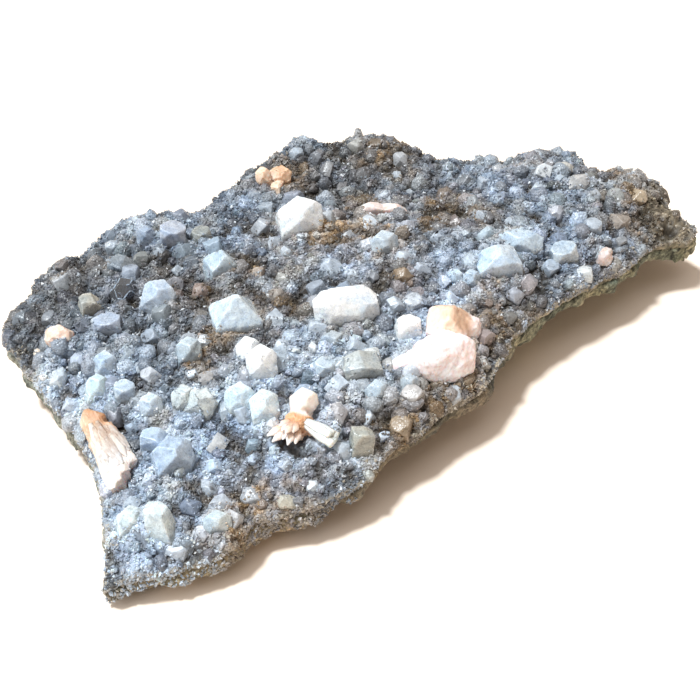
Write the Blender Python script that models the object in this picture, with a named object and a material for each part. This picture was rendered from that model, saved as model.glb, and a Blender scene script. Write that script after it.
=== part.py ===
# Stilbite cluster: a thin arched plate of basalt covered with a druse of small
# quartz, with pale blocky crystals and peach stilbite standing in the druse.
# Metres, +Z up, origin under the middle of the plate, +X along its length.
# The viewer's front is the corner direction (-0.60, -0.80).

import math

import bmesh
import bpy
import numpy as np
from mathutils import Matrix, Vector, noise

MM = 0.001

# ---- driving dimensions, millimetres ----
TOP_STEP = 5.0          # spacing of the points of the druse's top face
PART_STEP = 9.0         # spacing of the points of the face between druse and basalt
UNDER_STEP = 7.2        # spacing of the points of the underside
EDGE_THICKNESS = 5.8    # druse and basalt together along the broken edge
CRUST_EDGE = 2.5        # druse thickness along the edge
CRUST_MORE = 3.2        # what the druse gains away from the edge
GAP = 0.4               # clearance between druse and basalt
SOCKET = 0.42           # clearance around a crystal in its socket
EMBED = 3.0             # how deep a crystal is rooted in the druse
FRONT = -37.0           # yaw of a crystal whose face looks at the viewer, degrees
HEAD = 70.0             # cutters reach this far up and down

# Broken outline of the plate seen from above, clockwise from the left corner.
OUTLINE = [
    # back edge, left to right
    (-82, 42), (-79.5, 46), (-74.5, 47.5), (-67, 51.5), (-57, 54.5), (-50, 53.5),
    (-45, 55.5), (-36, 56), (-29, 55), (-21.5, 48.5), (-16, 47), (-5, 50),
    (6, 53), (14, 54), (20, 56), (24, 56.5),
    # back edge falling away to the right
    (28.5, 51.5), (33.5, 48), (45, 41), (47, 36.5), (50, 28.5), (53, 25),
    (59, 20.5), (65, 16), (77, 11.5), (83, 9.5), (88.5, 4.5), (88, 0),
    (86, -4.5), (87.5, -8.5), (95.5, -11),
    # tail
    (97.5, -15), (99.5, -22), (96, -26), (93.5, -31), (94.5, -38), (93, -41),
    (87, -43), (82.5, -40.5), (78, -39), (74, -39),
    # front lip, right to left
    (68.5, -41), (61.5, -41.5), (45.5, -41), (28.5, -42), (21, -43.5),
    (12, -47.5), (6.5, -50.5), (1, -52.5), (-9, -52), (-19.5, -53.5),
    (-28.5, -53), (-35.5, -56), (-39, -56.5), (-48.5, -55.5), (-56, -52.5),
    (-64.5, -49), (-71, -52.5), (-77.5, -52), (-87, -49), (-96.5, -43.5),
    (-100, -43),
    # left edge, front to back
    (-95.5, -36), (-89.5, -24.5), (-85.5, -13.5), (-84, 0), (-84, 14),
    (-84, 27), (-83, 33), (-83.5, 37),
]

# Swells and hollows of the druse: x, y, radius, height.
SWELLS = [
    (45, 40, 14, 1.5), (17, 31, 15, -6.0), (36, 12, 12, -4.5), (60, 0, 14, -2.5),
    (-2, 15, 9, 1.5), (8, -8, 20, 2.0), (40, -22, 14, 1.5), (80, -18, 12, 1.5),
    (-42, 20, 12, -1.5), (-22, 38, 9, -2.0), (-30, 48, 7, 1.5), (-50, -20, 13, 1.0),
    (-60, -36, 9, -2.5), (-48, -45, 8, -1.0), (-36, -30, 10, 1.0), (-85, -40, 8, 1.0),
    (-82, 40, 16, -2.5), (-36, 50, 12, -2.5), (-84, 5, 12, -1.0), (-60, 55, 16, -2.0),
]

# Underside: where it stays hollow (plus) and where it stands on its feet (minus).
UNDER = [
    (88, -27, 17, 9.0), (30, 44, 15, 7.0), (-30, -46, 14, 5.0), (55, -34, 12, 6.0),
    (-38, 6, 13, 27.0), (42, 3, 12, 24.0), (-72, 2, 12, 19.0), (-62, 46, 12, 6.0),
    (-4, 34, 11, 22.0), (-48, -26, 9, 15.0), (30, 22, 8, 9.0),
    (-4, -10, 13, -30.0), (-80, -36, 8, -26.0), (-62, 24, 9, -26.0),
    (68, -16, 10, -26.0), (16, 26, 8, -30.0), (22, -24, 11, -22.0),
]


def edge_distance(points):
    """Distance from the outline, positive inside it."""
    corners = np.array(OUTLINE, float)
    nearest = np.full(len(points), 1e9)
    inside = np.zeros(len(points), bool)
    for a, b in zip(corners, np.roll(corners, -1, 0)):
        side = b - a
        t = np.clip(((points - a) @ side) / (side @ side), 0.0, 1.0)
        nearest = np.minimum(nearest, np.hypot(*(points - (a + t[:, None] * side)).T))
        if a[1] != b[1]:
            crosses = (a[1] > points[:, 1]) != (b[1] > points[:, 1])
            inside ^= crosses & (points[:, 0] < (b[0] - a[0]) * (points[:, 1] - a[1]) / (b[1] - a[1]) + a[0])
    return np.where(inside, nearest, -nearest)


def bumps(points, table):
    total = np.zeros(len(points))
    for x, y, radius, height in table:
        total += height * np.exp(-((points[:, 0] - x) ** 2 + (points[:, 1] - y) ** 2) / (2.0 * radius ** 2))
    return total


def rough(points, size, seed):
    return np.array([noise.noise(Vector((x / size, y / size, seed))) for x, y in points])


def arch(points):
    """Height of the druse without its grain: a low arch that thins to its edge."""
    x, y = points[:, 0], points[:, 1]
    d = np.maximum(edge_distance(points), 0.0)
    return (14.5 + 0.04 * x + 0.07 * y + 5.0 * (1.0 - (x / 100.0) ** 2)
            + 5.0 * (1.0 - np.exp(-d / 9.0)) + bumps(points, SWELLS))


def top_height(points):
    return arch(points) + 1.3 * rough(points, 8.0, 3.1)


def parting_height(points):
    d = np.maximum(edge_distance(points), 0.0)
    return arch(points) - CRUST_EDGE - CRUST_MORE * (1.0 - np.exp(-d / 8.0))


def under_height(points):
    d = np.maximum(edge_distance(points), 0.0)
    height = (arch(points) - EDGE_THICKNESS - 0.95 * d + 3.6 * rough(points, 21.0, 7.7)
              + 1.2 * rough(points, 7.0, 1.3) + bumps(points, UNDER) * (1.0 - np.exp(-d / 7.0)))
    return np.clip(height, 0.0, parting_height(points) - GAP - 2.4)


# ---- making and joining meshes ----

def clear_scene():
    for ob in list(bpy.data.objects):
        bpy.data.objects.remove(ob, do_unlink=True)


def new_object(name, mesh, collection):
    ob = bpy.data.objects.new(name, mesh)
    collection.objects.link(ob)
    return ob


def hide_cutter(ob):
    ob.hide_render = True
    ob.display_type = 'WIRE'


def is_sound(mesh, volume_range):
    """Every edge between two faces, and a volume that the cut can have left."""
    bm = bmesh.new()
    bm.from_mesh(mesh)
    closed = all(len(e.link_faces) == 2 for e in bm.edges)
    volume = bm.calc_volume(signed=True)
    bm.free()
    return closed and volume_range[0] < volume < volume_range[1]


def volume_of(ob):
    bm = bmesh.new()
    bm.from_mesh(ob.data)
    volume = bm.calc_volume(signed=True)
    bm.free()
    return volume


def boolean(ob, cutter, operation):
    """Cuts or joins; where the exact solver leaves an unsound mesh, the other one is used."""
    mine, other = volume_of(ob), volume_of(cutter)
    tiny = 0.001 * mine
    allowed = {'DIFFERENCE': (mine - other - tiny, mine + tiny),
               'UNION': (max(mine, other) - tiny, mine + other + tiny),
               'INTERSECT': (0.0, min(mine, other) + tiny)}[operation]
    mod = ob.modifiers.new("cut", 'BOOLEAN')
    mod.object = cutter
    mod.operation = operation
    mesh = None
    for solver in ('EXACT', 'MANIFOLD'):
        mod.solver = solver
        bpy.context.view_layer.update()
        mesh = bpy.data.meshes.new_from_object(ob.evaluated_get(bpy.context.evaluated_depsgraph_get()))
        if is_sound(mesh, allowed):
            break
    else:
        raise RuntimeError("no sound mesh for %s with %s" % (ob.name, cutter.name))
    ob.modifiers.clear()
    ob.data = mesh


def largest_piece(ob):
    """Drops loose chips that a cut has freed."""
    bm = bmesh.new()
    bm.from_mesh(ob.data)
    bmesh.ops.remove_doubles(bm, verts=bm.verts, dist=0.00002)
    bmesh.ops.dissolve_degenerate(bm, edges=bm.edges, dist=0.00002)
    left = set(bm.verts)
    islands = []
    while left:
        stack = [left.pop()]
        island = set(stack)
        while stack:
            for edge in stack.pop().link_edges:
                for v in edge.verts:
                    if v in left:
                        left.discard(v)
                        island.add(v)
                        stack.append(v)
        islands.append(island)
    islands.sort(key=len, reverse=True)
    for island in islands[1:]:
        print("chip dropped from", ob.name, len(island), "points")
        bmesh.ops.delete(bm, geom=list(island), context='VERTS')
    bm.to_mesh(ob.data)
    bm.free()


def outline_prism(name, collection):
    """The outline as a filled curve, made a tall prism."""
    curve = bpy.data.curves.new(name, 'CURVE')
    curve.dimensions = '2D'
    curve.fill_mode = 'BOTH'
    curve.extrude = HEAD * MM
    spline = curve.splines.new('POLY')
    spline.points.add(len(OUTLINE) - 1)
    for point, (x, y) in zip(spline.points, OUTLINE):
        point.co = (x * MM, y * MM, 0.0, 1.0)
    spline.use_cyclic_u = True
    flat = bpy.data.objects.new(name + "_curve", curve)
    collection.objects.link(flat)
    bpy.context.view_layer.update()
    mesh = bpy.data.meshes.new_from_object(flat.evaluated_get(bpy.context.evaluated_depsgraph_get()))
    bpy.data.objects.remove(flat, do_unlink=True)
    bm = bmesh.new()
    bm.from_mesh(mesh)
    bmesh.ops.remove_doubles(bm, verts=bm.verts, dist=0.00001)
    bmesh.ops.recalc_face_normals(bm, faces=bm.faces)
    bm.to_mesh(mesh)
    bm.free()
    return new_object(name, mesh, collection)


def landscape(name, height, step, upward, collection):
    """A closed block with one face that follows height: its top or its underside."""
    nx, ny = int(round(216 / step)), int(round(128 / step))
    bm = bmesh.new()
    bmesh.ops.create_grid(bm, x_segments=nx, y_segments=ny, size=1.0)
    top = list(bm.verts)
    points = np.array([(v.co.x * 108.0, v.co.y * 64.0) for v in top])
    for v, (x, y), z in zip(top, points, height(points)):
        v.co = (x * MM, y * MM, z * MM)
    rim = [e for e in bm.edges if len(e.link_faces) == 1]
    made = bmesh.ops.extrude_edge_only(bm, edges=rim)
    low = [g for g in made["geom"] if isinstance(g, bmesh.types.BMVert)]
    for v in low:
        v.co.z = (-HEAD if upward else HEAD) * MM
    bmesh.ops.holes_fill(bm, edges=[e for e in bm.edges if len(e.link_faces) == 1])
    bmesh.ops.recalc_face_normals(bm, faces=bm.faces)
    bmesh.ops.triangulate(bm, faces=bm.faces[:])
    mesh = bpy.data.meshes.new(name)
    bm.to_mesh(mesh)
    bm.free()
    return new_object(name, mesh, collection)


# ---- crystals: a cube whose corners and edges are cut by planes ----
# A cut is (direction, how far out): it is taken on the cube of half size 1.

CORNERS_TOP = [((sx, sy, 1), 2.25) for sx in (-1, 1) for sy in (-1, 1)]
CORNERS_TOP_DEEP = [((sx, sy, 1), 1.75) for sx in (-1, 1) for sy in (-1, 1)]
CORNERS_LOW = [((sx, sy, -1), 2.2) for sx in (-1, 1) for sy in (-1, 1)]
UPRIGHT_EDGES = [((sx, sy, 0), 1.62) for sx in (-1, 1) for sy in (-1, 1)]
TOP_EDGES = [((1, 0, 1), 1.7), ((-1, 0, 1), 1.62), ((0, 1, 1), 1.7), ((0, -1, 1), 1.6)]

KINDS = {
    # plain box, for the socket round any crystal
    "box": [],
    # square block with its four upper corners cut off, as apophyllite grows
    "block": CORNERS_TOP + [((1, 1, 0), 1.85), ((-1, -1, 0), 1.8)],
    # the same with larger corner faces
    "stubby": CORNERS_TOP_DEEP + [((1, -1, 0), 1.7)],
    # many-faced, nearly round
    "nodule": CORNERS_TOP_DEEP + UPRIGHT_EDGES + TOP_EDGES,
    # low box under a four-sided point
    "pyramid": [((1, 0.15, 0.8), 0.92), ((-1, 0.1, 0.8), 0.9), ((0.1, 1, 0.8), 0.9), ((0, -1, 0.8), 0.95)],
    # ridged roof
    "tent": [((0.9, 0, 1), 1.15), ((-0.75, 0, 1), 1.05), ((0, -1, 0.9), 1.45), ((0, 1, 0.9), 1.4)],
    # lens with a keel, wide and low
    "lens": [((1, 0, 1), 1.15), ((-0.8, 0, 1), 1.3), ((0.3, -1, 0.9), 1.25), ((0, 1, 1), 1.3),
             ((-1, -0.8, 0.3), 1.35), ((-1, 0.9, 0.2), 1.3), ((1, -0.9, 0.2), 1.35), ((1, 0.9, 0), 1.4)],
    # slab with a slanting end
    "slant": [((0.8, 0, 1), 1.1), ((-0.3, -1, 0.7), 1.6), ((-1, 1, 0.4), 1.9)],
    # four-cornered prism, ends slightly worn
    "prism": [((0.25, 0, 1), 1.05), ((1, 1, 0.6), 2.1), ((-1, -1, 0.8), 2.2), ((1, -1, 1.0), 2.4)],
    # blade of a stilbite sheaf: thin, its free end cut to a blunt point
    "blade": [((0, 0.7, 1), 1.45), ((0, -0.7, 1), 1.45), ((0.5, 0, 1), 1.25)],
    # rounded stilbite body
    "body": CORNERS_TOP_DEEP + UPRIGHT_EDGES + TOP_EDGES + CORNERS_LOW,
}


def crystal(name, kind, size, middle, turn, collection, more=0.0):
    """One convex crystal; more makes it larger all round, for its socket."""
    bm = bmesh.new()
    bmesh.ops.create_cube(bm, size=2.0)
    for direction, reach in KINDS[kind]:
        normal = Vector(direction).normalized()
        point = normal * (reach / Vector(direction).length)
        cut = bmesh.ops.bisect_plane(bm, geom=bm.verts[:] + bm.edges[:] + bm.faces[:], dist=1e-5,
                                     plane_co=point, plane_no=normal, clear_outer=True)
        rim = [g for g in cut["geom_cut"] if isinstance(g, bmesh.types.BMEdge)]
        if rim:
            bmesh.ops.holes_fill(bm, edges=rim)
    bmesh.ops.dissolve_limit(bm, angle_limit=0.01, verts=bm.verts[:], edges=bm.edges[:])
    half = [s / 2.0 + more for s in size]
    for v in bm.verts:
        v.co = Vector((v.co.x * half[0], v.co.y * half[1], v.co.z * half[2])) * MM
    yaw, pitch, roll = (math.radians(a) for a in turn)
    spin = Matrix.Rotation(yaw, 4, 'Z') @ Matrix.Rotation(pitch, 4, 'X') @ Matrix.Rotation(roll, 4, 'Y')
    bmesh.ops.transform(bm, matrix=Matrix.Translation(Vector(middle) * MM) @ spin, verts=bm.verts)
    bmesh.ops.recalc_face_normals(bm, faces=bm.faces)
    mesh = bpy.data.meshes.new(name)
    bm.to_mesh(mesh)
    bm.free()
    return new_object(name, mesh, collection)


# Pale crystals standing in the druse. Each node is a crystal, or a few that have
# grown into each other. A member is: kind, x, y, width, depth, height above the
# druse, yaw from the viewer's front, pitch, roll.
PALE = {
    "pale_lens_centre": [("lens", -13.0, -16.5, 16.5, 9.5, 8.5, 8, 6, -6)],
    "pale_block_under_lens": [("stubby", -21.5, -22.2, 6.2, 4.6, 3.0, 20, 0, 8)],
    "pale_crystal_back_centre": [("stubby", -3.0, 17.5, 12.0, 9.0, 8.5, 14, 4, 0)],
    "pale_pyramid_left": [("pyramid", -36.0, -0.5, 12.0, 10.5, 8.5, 16, 0, 4)],
    "pale_block_left": [("stubby", -48.0, 17.5, 8.4, 6.8, 7.4, -12, -6, 10)],
    "pale_tent_right": [("tent", 29.5, -26.5, 11.6, 8.0, 6.6, 12, 0, -6)],
    "pale_rounded_right": [("nodule", 41.0, -23.0, 12.0, 7.0, 4.2, -8, 0, 0)],
    "pale_block_far_right": [("block", 48.5, -32.0, 7.0, 5.4, 4.2, 22, 6, -8)],
    "pale_pair_right_of_centre": [
        ("stubby", 20.2, -26.4, 4.6, 4.4, 3.6, 10, 0, 8),
        ("nodule", 17.4, -23.8, 4.4, 4.2, 3.0, -15, 0, 0)],
    "pale_cube_by_stilbite": [("block", -4.8, -31.6, 6.0, 5.0, 5.4, 12, -8, 4)],
    "pale_block_front_tip": [("stubby", -88.2, -35.5, 6.4, 5.0, 5.0, 24, -8, 14)],
    "pale_prism_front_tip": [("prism", -83.6, -41.2, 5.2, 4.6, 6.8, -18, -10, -18)],
    "pale_pair_left_front": [
        ("stubby", -71.5, -26.8, 9.4, 7.4, 5.8, 26, -6, 4),
        ("slant", -72.0, -20.8, 7.2, 4.4, 4.0, -10, 0, 0)],
    "pale_crystal_left_middle": [("stubby", -67.8, -11.8, 5.6, 5.0, 5.2, 10, 0, -6)],
    "pale_mint_crystal_left": [("stubby", -75.0, 3.0, 5.4, 4.6, 5.6, 20, -10, 12)],
    "pale_round_crystal_left": [("nodule", -69.5, 8.0, 6.0, 5.4, 4.8, 0, 0, 0)],
    "pale_small_block_left": [("block", -70.6, -3.0, 5.0, 4.4, 4.4, 14, 0, 6)],
    "pale_lavender_block_left": [("block", -62.5, 19.0, 7.2, 4.6, 4.0, 8, 4, -4)],
    "clear_smoky_block_left": [("nodule", -53.0, 27.0, 6.6, 5.6, 4.6, 40, 0, 10)],
    "pale_block_back_left": [("block", -31.6, 37.6, 7.0, 5.6, 5.6, 6, 4, 6)],
    "pale_block_back_edge": [("stubby", -37.0, 42.8, 5.2, 4.6, 4.4, 10, 0, 0)],
    "pale_cream_block_back": [("block", -25.2, 33.0, 5.0, 4.4, 3.8, 28, 0, 0)],
    "pale_wedge_back": [("tent", -28.6, 18.0, 7.8, 6.2, 5.8, 30, 0, 10)],
    "pale_smoky_block_back": [("slant", -48.4, 35.6, 7.2, 4.8, 4.0, -16, 6, 0)],
    "pale_cream_block_left": [("slant", -62.4, 28.0, 6.0, 4.6, 4.4, 24, 0, 8)],
    "pale_crystal_upper_left": [("stubby", -51.6, -2.8, 6.2, 5.4, 4.8, 16, 0, 4)],
    "pale_group_centre_left": [
        ("stubby", -40.8, -19.4, 7.6, 7.0, 6.8, 6, -4, 0),
        ("nodule", -40.4, -12.2, 6.0, 5.6, 4.4, 20, 0, 6)],
    "pale_pair_centre_left": [
        ("nodule", -50.6, -24.4, 7.4, 6.4, 6.0, 0, 0, 0),
        ("stubby", -47.4, -30.0, 7.0, 6.2, 6.4, 14, -8, 0)],
    "pale_cream_group_left": [
        ("nodule", -60.8, -15.2, 6.0, 5.6, 5.0, 10, 0, 0),
        ("stubby", -58.2, -19.2, 7.0, 6.0, 5.4, -20, 0, 6)],
    "pale_slab_below_centre": [("slant", -20.8, -33.6, 9.4, 6.0, 4.6, 16, 6, -12)],
    "pale_small_cube_centre": [("block", -28.8, -29.0, 5.0, 4.4, 3.8, 12, 0, 4)],
    "pale_block_front_centre": [("stubby", -22.2, -41.2, 5.8, 4.6, 4.2, 20, 0, 6)],
    "pale_round_front_centre": [("nodule", -13.6, -43.6, 4.8, 4.4, 3.8, 0, 0, 0)],
    "pale_prism_front_lip": [("prism", -33.8, -50.4, 5.2, 4.2, 5.6, 14, -10, 10)],
    "pale_crystal_front_bay": [("nodule", -72.4, -47.2, 6.4, 4.4, 4.2, 8, 0, 0)],
    "pale_crystal_ridge": [("nodule", 9.4, -3.6, 7.4, 6.0, 4.8, 15, 0, 0)],
}

# Stilbite. A member is: kind, x, y, height of its middle above the druse,
# length, depth, thickness, yaw from the viewer's front, pitch, roll.
STILBITE = {
    # sheaf of upright-grained blades along the left edge, with a tapered head
    "stilbite_sheaf_left_edge": [
        ("body", -80.4, -5.4, 1.6, 6.4, 8.4, 7.2, 34, 4, -8),
        ("blade", -84.2, -17.4, 1.5, 2.4, 16.6, 6.4, 22, 5, -24),
        ("blade", -82.6, -16.4, 1.9, 2.4, 18.4, 6.8, 26, 4, -10),
        ("blade", -81.0, -15.6, 2.0, 2.4, 17.4, 6.6, 30, 4, 4),
        ("blade", -79.4, -15.4, 1.6, 2.4, 14.6, 6.0, 34, 4, 16),
        ("body", -81.6, -12.6, 0.6, 6.6, 12.0, 5.6, 28, 0, 0)],
    # bow-tie: round knot with an orange waist and two fans of blades
    "stilbite_bowtie_centre": [
        ("body", -39.2, -34.8, 2.2, 7.0, 6.0, 6.6, 10, 0, 0),
        ("body", -43.0, -37.6, 1.4, 6.4, 5.4, 6.0, 0, 0, 12),
        ("blade", -46.2, -38.4, 0.4, 2.2, 7.6, 4.8, -34, -24, 0),
        ("blade", -46.0, -40.6, 0.2, 2.2, 8.2, 4.6, -20, -26, 0),
        ("blade", -44.4, -41.6, 0.2, 2.2, 8.0, 4.4, -4, -24, 0),
        ("blade", -41.6, -42.4, 1.2, 2.4, 9.6, 4.8, 42, -16, 0),
        ("blade", -40.2, -42.8, 1.0, 2.4, 10.4, 4.6, 54, -14, 0),
        ("blade", -38.6, -41.8, 0.8, 2.4, 9.4, 4.2, 66, -12, 0)],
    # the large pink and white body, its left arm and the peach crystal behind it
    "stilbite_pair_right": [
        ("body", -2.6, -43.0, 3.4, 15.4, 9.4, 11.4, 10, -8, 6),
        ("body", -9.8, -38.4, 1.0, 9.6, 5.0, 5.0, 14, 0, -10),
        ("tent", 4.2, -36.2, 3.0, 10.4, 8.8, 10.4, -8, 6, 4),
        ("body", 8.8, -38.4, 1.6, 7.4, 6.2, 7.2, 26, 0, 24)],
    # a small round nub near the left corner
    "stilbite_nub_left": [("body", -73.6, 24.8, 2.0, 7.2, 4.6, 5.4, -14, 0, -12)],
    # peach lumps at the back edge
    "stilbite_group_back": [
        ("body", 2.8, 43.8, 1.8, 4.2, 5.2, 6.2, 8, 0, -10),
        ("body", 7.6, 42.4, 1.6, 6.2, 5.4, 5.4, 0, 0, 6),
        ("blade", 3.8, 38.6, 0.8, 2.6, 5.4, 4.0, -10, -14, 0)],
    # a thin curved blade in the hollow
    "stilbite_blade_back": [
        ("tent", 18.9, 14.9, 1.2, 7.4, 3.2, 5.0, 6, 0, -12),
        ("tent", 24.6, 11.0, 1.0, 7.4, 3.4, 5.0, -4, 0, 14)],
    # pink chip by the right edge
    "stilbite_chip_right": [("body", 59.2, -37.6, 1.6, 3.6, 3.2, 4.6, 10, -10, 10)],
}

CREAM = (0.80, 0.79, 0.74, 1.0)
PEACH = (0.86, 0.55, 0.40, 1.0)
DRUSE = (0.33, 0.35, 0.38, 1.0)
BASALT = (0.20, 0.20, 0.17, 1.0)


def material(name, colour, roughness):
    mat = bpy.data.materials.new(name)
    mat.use_nodes = True
    shader = mat.node_tree.nodes["Principled BSDF"]
    shader.inputs["Base Color"].default_value = colour
    shader.inputs["Roughness"].default_value = roughness
    shader.inputs["Metallic"].default_value = 0.0
    return mat


def surface_at(x, y):
    return float(arch(np.array([(x, y)], float))[0])


def placed(members, is_pale):
    """Size, middle and turn of each member of a node."""
    result = []
    for member in members:
        if is_pale:
            kind, x, y, width, depth, height, yaw, pitch, roll = member
            rise = (height - EMBED) / 2.0
            size = (width, depth, height + EMBED)
        else:
            kind, x, y, rise, width, depth, thick, yaw, pitch, roll = member
            size = (width, depth, thick)
        result.append((kind, size, (x, y, surface_at(x, y) + rise), (FRONT + yaw, pitch, roll)))
    return result


def build():
    clear_scene()
    parts = bpy.data.collections.new("stilbite_cluster")
    cutters = bpy.data.collections.new("cutters")
    for collection in (parts, cutters):
        bpy.context.scene.collection.children.link(collection)

    # druse: the prism of the outline between its top face and the parting face
    crust = outline_prism("quartz_druse_crust", parts)
    above = landscape("druse_top", top_height, TOP_STEP, True, cutters)
    below = landscape("druse_underside", parting_height, PART_STEP, False, cutters)
    boolean(crust, above, 'INTERSECT')
    boolean(crust, below, 'INTERSECT')

    # basalt: the same prism between the underside and the parting face
    basalt = outline_prism("basalt_matrix", parts)
    shelf = landscape("basalt_top", lambda p: parting_height(p) - GAP, PART_STEP, True, cutters)
    under = landscape("basalt_underside", under_height, UNDER_STEP, False, cutters)
    boolean(basalt, shelf, 'INTERSECT')
    boolean(basalt, under, 'INTERSECT')

    # crystals, and the sockets they sit in
    sockets = []
    for table, is_pale, colour in ((PALE, True, CREAM), (STILBITE, False, PEACH)):
        for name, members in table.items():
            whole = None
            socket = None
            for i, (kind, size, middle, turn) in enumerate(placed(members, is_pale)):
                home = parts if whole is None else cutters
                body = crystal(name if whole is None else "%s_%d" % (name, i), kind, size, middle, turn, home)
                if whole is None:
                    whole = body
                else:
                    boolean(whole, body, 'UNION')
                room = crystal("socket_%s_%d" % (name, i), "box", size, middle, turn, cutters, SOCKET)
                if socket is None:
                    socket = room
                else:
                    boolean(socket, room, 'UNION')
            sockets.append(socket)
            largest_piece(whole)
            whole.data.materials.clear()
            whole.data.materials.append(material(name, colour, 0.35))
    for socket in sockets:
        lowest = min(v.co.z for v in socket.data.vertices) / MM
        x = sum(v.co.x for v in socket.data.vertices) / len(socket.data.vertices) / MM
        y = sum(v.co.y for v in socket.data.vertices) / len(socket.data.vertices) / MM
        boolean(crust, socket, 'DIFFERENCE')
        if lowest < float(parting_height(np.array([(x, y)]))[0]) + 2.5:
            boolean(basalt, socket, 'DIFFERENCE')
    for ob, colour, roughness in ((crust, DRUSE, 0.45), (basalt, BASALT, 0.85)):
        largest_piece(ob)
        ob.data.materials.clear()
        ob.data.materials.append(material(ob.name, colour, roughness))

    for ob in cutters.objects:
        hide_cutter(ob)

    # origin under the middle of everything
    low = Vector((1e9, 1e9, 1e9))
    high = -low
    for ob in parts.objects:
        for v in ob.data.vertices:
            for k in range(3):
                low[k] = min(low[k], v.co[k])
                high[k] = max(high[k], v.co[k])
    shift = Vector((-(low.x + high.x) / 2.0, -(low.y + high.y) / 2.0, -low.z))
    for ob in list(parts.objects) + list(cutters.objects):
        ob.data.transform(Matrix.Translation(shift))
        ob.data.update()
    total = 0
    for ob in parts.objects:
        ob.data.calc_loop_triangles()
        total += len(ob.data.loop_triangles)
    print("size mm", [round((high[k] - low[k]) / MM, 2) for k in range(3)],
          "shift mm", [round(s / MM, 3) for s in shift], "triangles", total, "pieces", len(parts.objects))


build()
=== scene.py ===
import math

import bmesh
import bpy
import numpy as np
from mathutils import Matrix, Vector, noise
from mathutils.bvhtree import BVHTree


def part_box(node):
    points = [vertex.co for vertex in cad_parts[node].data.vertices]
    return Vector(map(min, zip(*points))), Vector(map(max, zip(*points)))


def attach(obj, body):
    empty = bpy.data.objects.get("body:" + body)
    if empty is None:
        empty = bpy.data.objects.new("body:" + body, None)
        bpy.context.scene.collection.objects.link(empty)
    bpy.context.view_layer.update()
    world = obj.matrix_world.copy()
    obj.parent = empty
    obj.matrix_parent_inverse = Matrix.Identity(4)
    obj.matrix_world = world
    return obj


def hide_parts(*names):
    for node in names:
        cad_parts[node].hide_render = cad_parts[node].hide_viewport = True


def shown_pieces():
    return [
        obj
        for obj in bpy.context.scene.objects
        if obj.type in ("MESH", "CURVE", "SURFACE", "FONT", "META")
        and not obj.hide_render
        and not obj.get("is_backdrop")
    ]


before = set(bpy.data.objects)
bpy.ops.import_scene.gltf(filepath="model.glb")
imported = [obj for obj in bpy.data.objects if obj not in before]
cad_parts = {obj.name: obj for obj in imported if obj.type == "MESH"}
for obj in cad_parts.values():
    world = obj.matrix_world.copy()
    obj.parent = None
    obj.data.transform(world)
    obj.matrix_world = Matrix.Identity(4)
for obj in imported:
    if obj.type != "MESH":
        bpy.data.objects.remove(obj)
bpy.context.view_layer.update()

MM = 0.001

# ---------------------------------------------------------------------------
# The plate, as it is laid out for the solids: outline, swells and hollows, mm.
# ---------------------------------------------------------------------------
SHIFT = 0.25            # the solids stand this far along +X from the layout
OUTLINE = [
    (-82, 42), (-79.5, 46), (-74.5, 47.5), (-67, 51.5), (-57, 54.5), (-50, 53.5),
    (-45, 55.5), (-36, 56), (-29, 55), (-21.5, 48.5), (-16, 47), (-5, 50),
    (6, 53), (14, 54), (20, 56), (24, 56.5),
    (28.5, 51.5), (33.5, 48), (45, 41), (47, 36.5), (50, 28.5), (53, 25),
    (59, 20.5), (65, 16), (77, 11.5), (83, 9.5), (88.5, 4.5), (88, 0),
    (86, -4.5), (87.5, -8.5), (95.5, -11),
    (97.5, -15), (99.5, -22), (96, -26), (93.5, -31), (94.5, -38), (93, -41),
    (87, -43), (82.5, -40.5), (78, -39), (74, -39),
    (68.5, -41), (61.5, -41.5), (45.5, -41), (28.5, -42), (21, -43.5),
    (12, -47.5), (6.5, -50.5), (1, -52.5), (-9, -52), (-19.5, -53.5),
    (-28.5, -53), (-35.5, -56), (-39, -56.5), (-48.5, -55.5), (-56, -52.5),
    (-64.5, -49), (-71, -52.5), (-77.5, -52), (-87, -49), (-96.5, -43.5),
    (-100, -43),
    (-95.5, -36), (-89.5, -24.5), (-85.5, -13.5), (-84, 0), (-84, 14),
    (-84, 27), (-83, 33), (-83.5, 37),
]
SWELLS = [
    (45, 40, 14, 1.5), (17, 31, 15, -6.0), (36, 12, 12, -4.5), (60, 0, 14, -2.5),
    (-2, 15, 9, 1.5), (8, -8, 20, 2.0), (40, -22, 14, 1.5), (80, -18, 12, 1.5),
    (-42, 20, 12, -1.5), (-22, 38, 9, -2.0), (-30, 48, 7, 1.5), (-50, -20, 13, 1.0),
    (-60, -36, 9, -2.5), (-48, -45, 8, -1.0), (-36, -30, 10, 1.0), (-85, -40, 8, 1.0),
    (-82, 40, 16, -2.5), (-36, 50, 12, -2.5), (-84, 5, 12, -1.0), (-60, 55, 16, -2.0),
]
UNDER = [
    (88, -27, 17, 9.0), (30, 44, 15, 7.0), (-30, -46, 14, 5.0), (55, -34, 12, 6.0),
    (-38, 6, 13, 27.0), (42, 3, 12, 24.0), (-72, 2, 12, 19.0), (-62, 46, 12, 6.0),
    (-4, 34, 11, 22.0), (-48, -26, 9, 15.0), (30, 22, 8, 9.0),
    (-4, -10, 13, -30.0), (-80, -36, 8, -26.0), (-62, 24, 9, -26.0),
    (68, -16, 10, -26.0), (16, 26, 8, -30.0), (22, -24, 11, -22.0),
]


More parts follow.
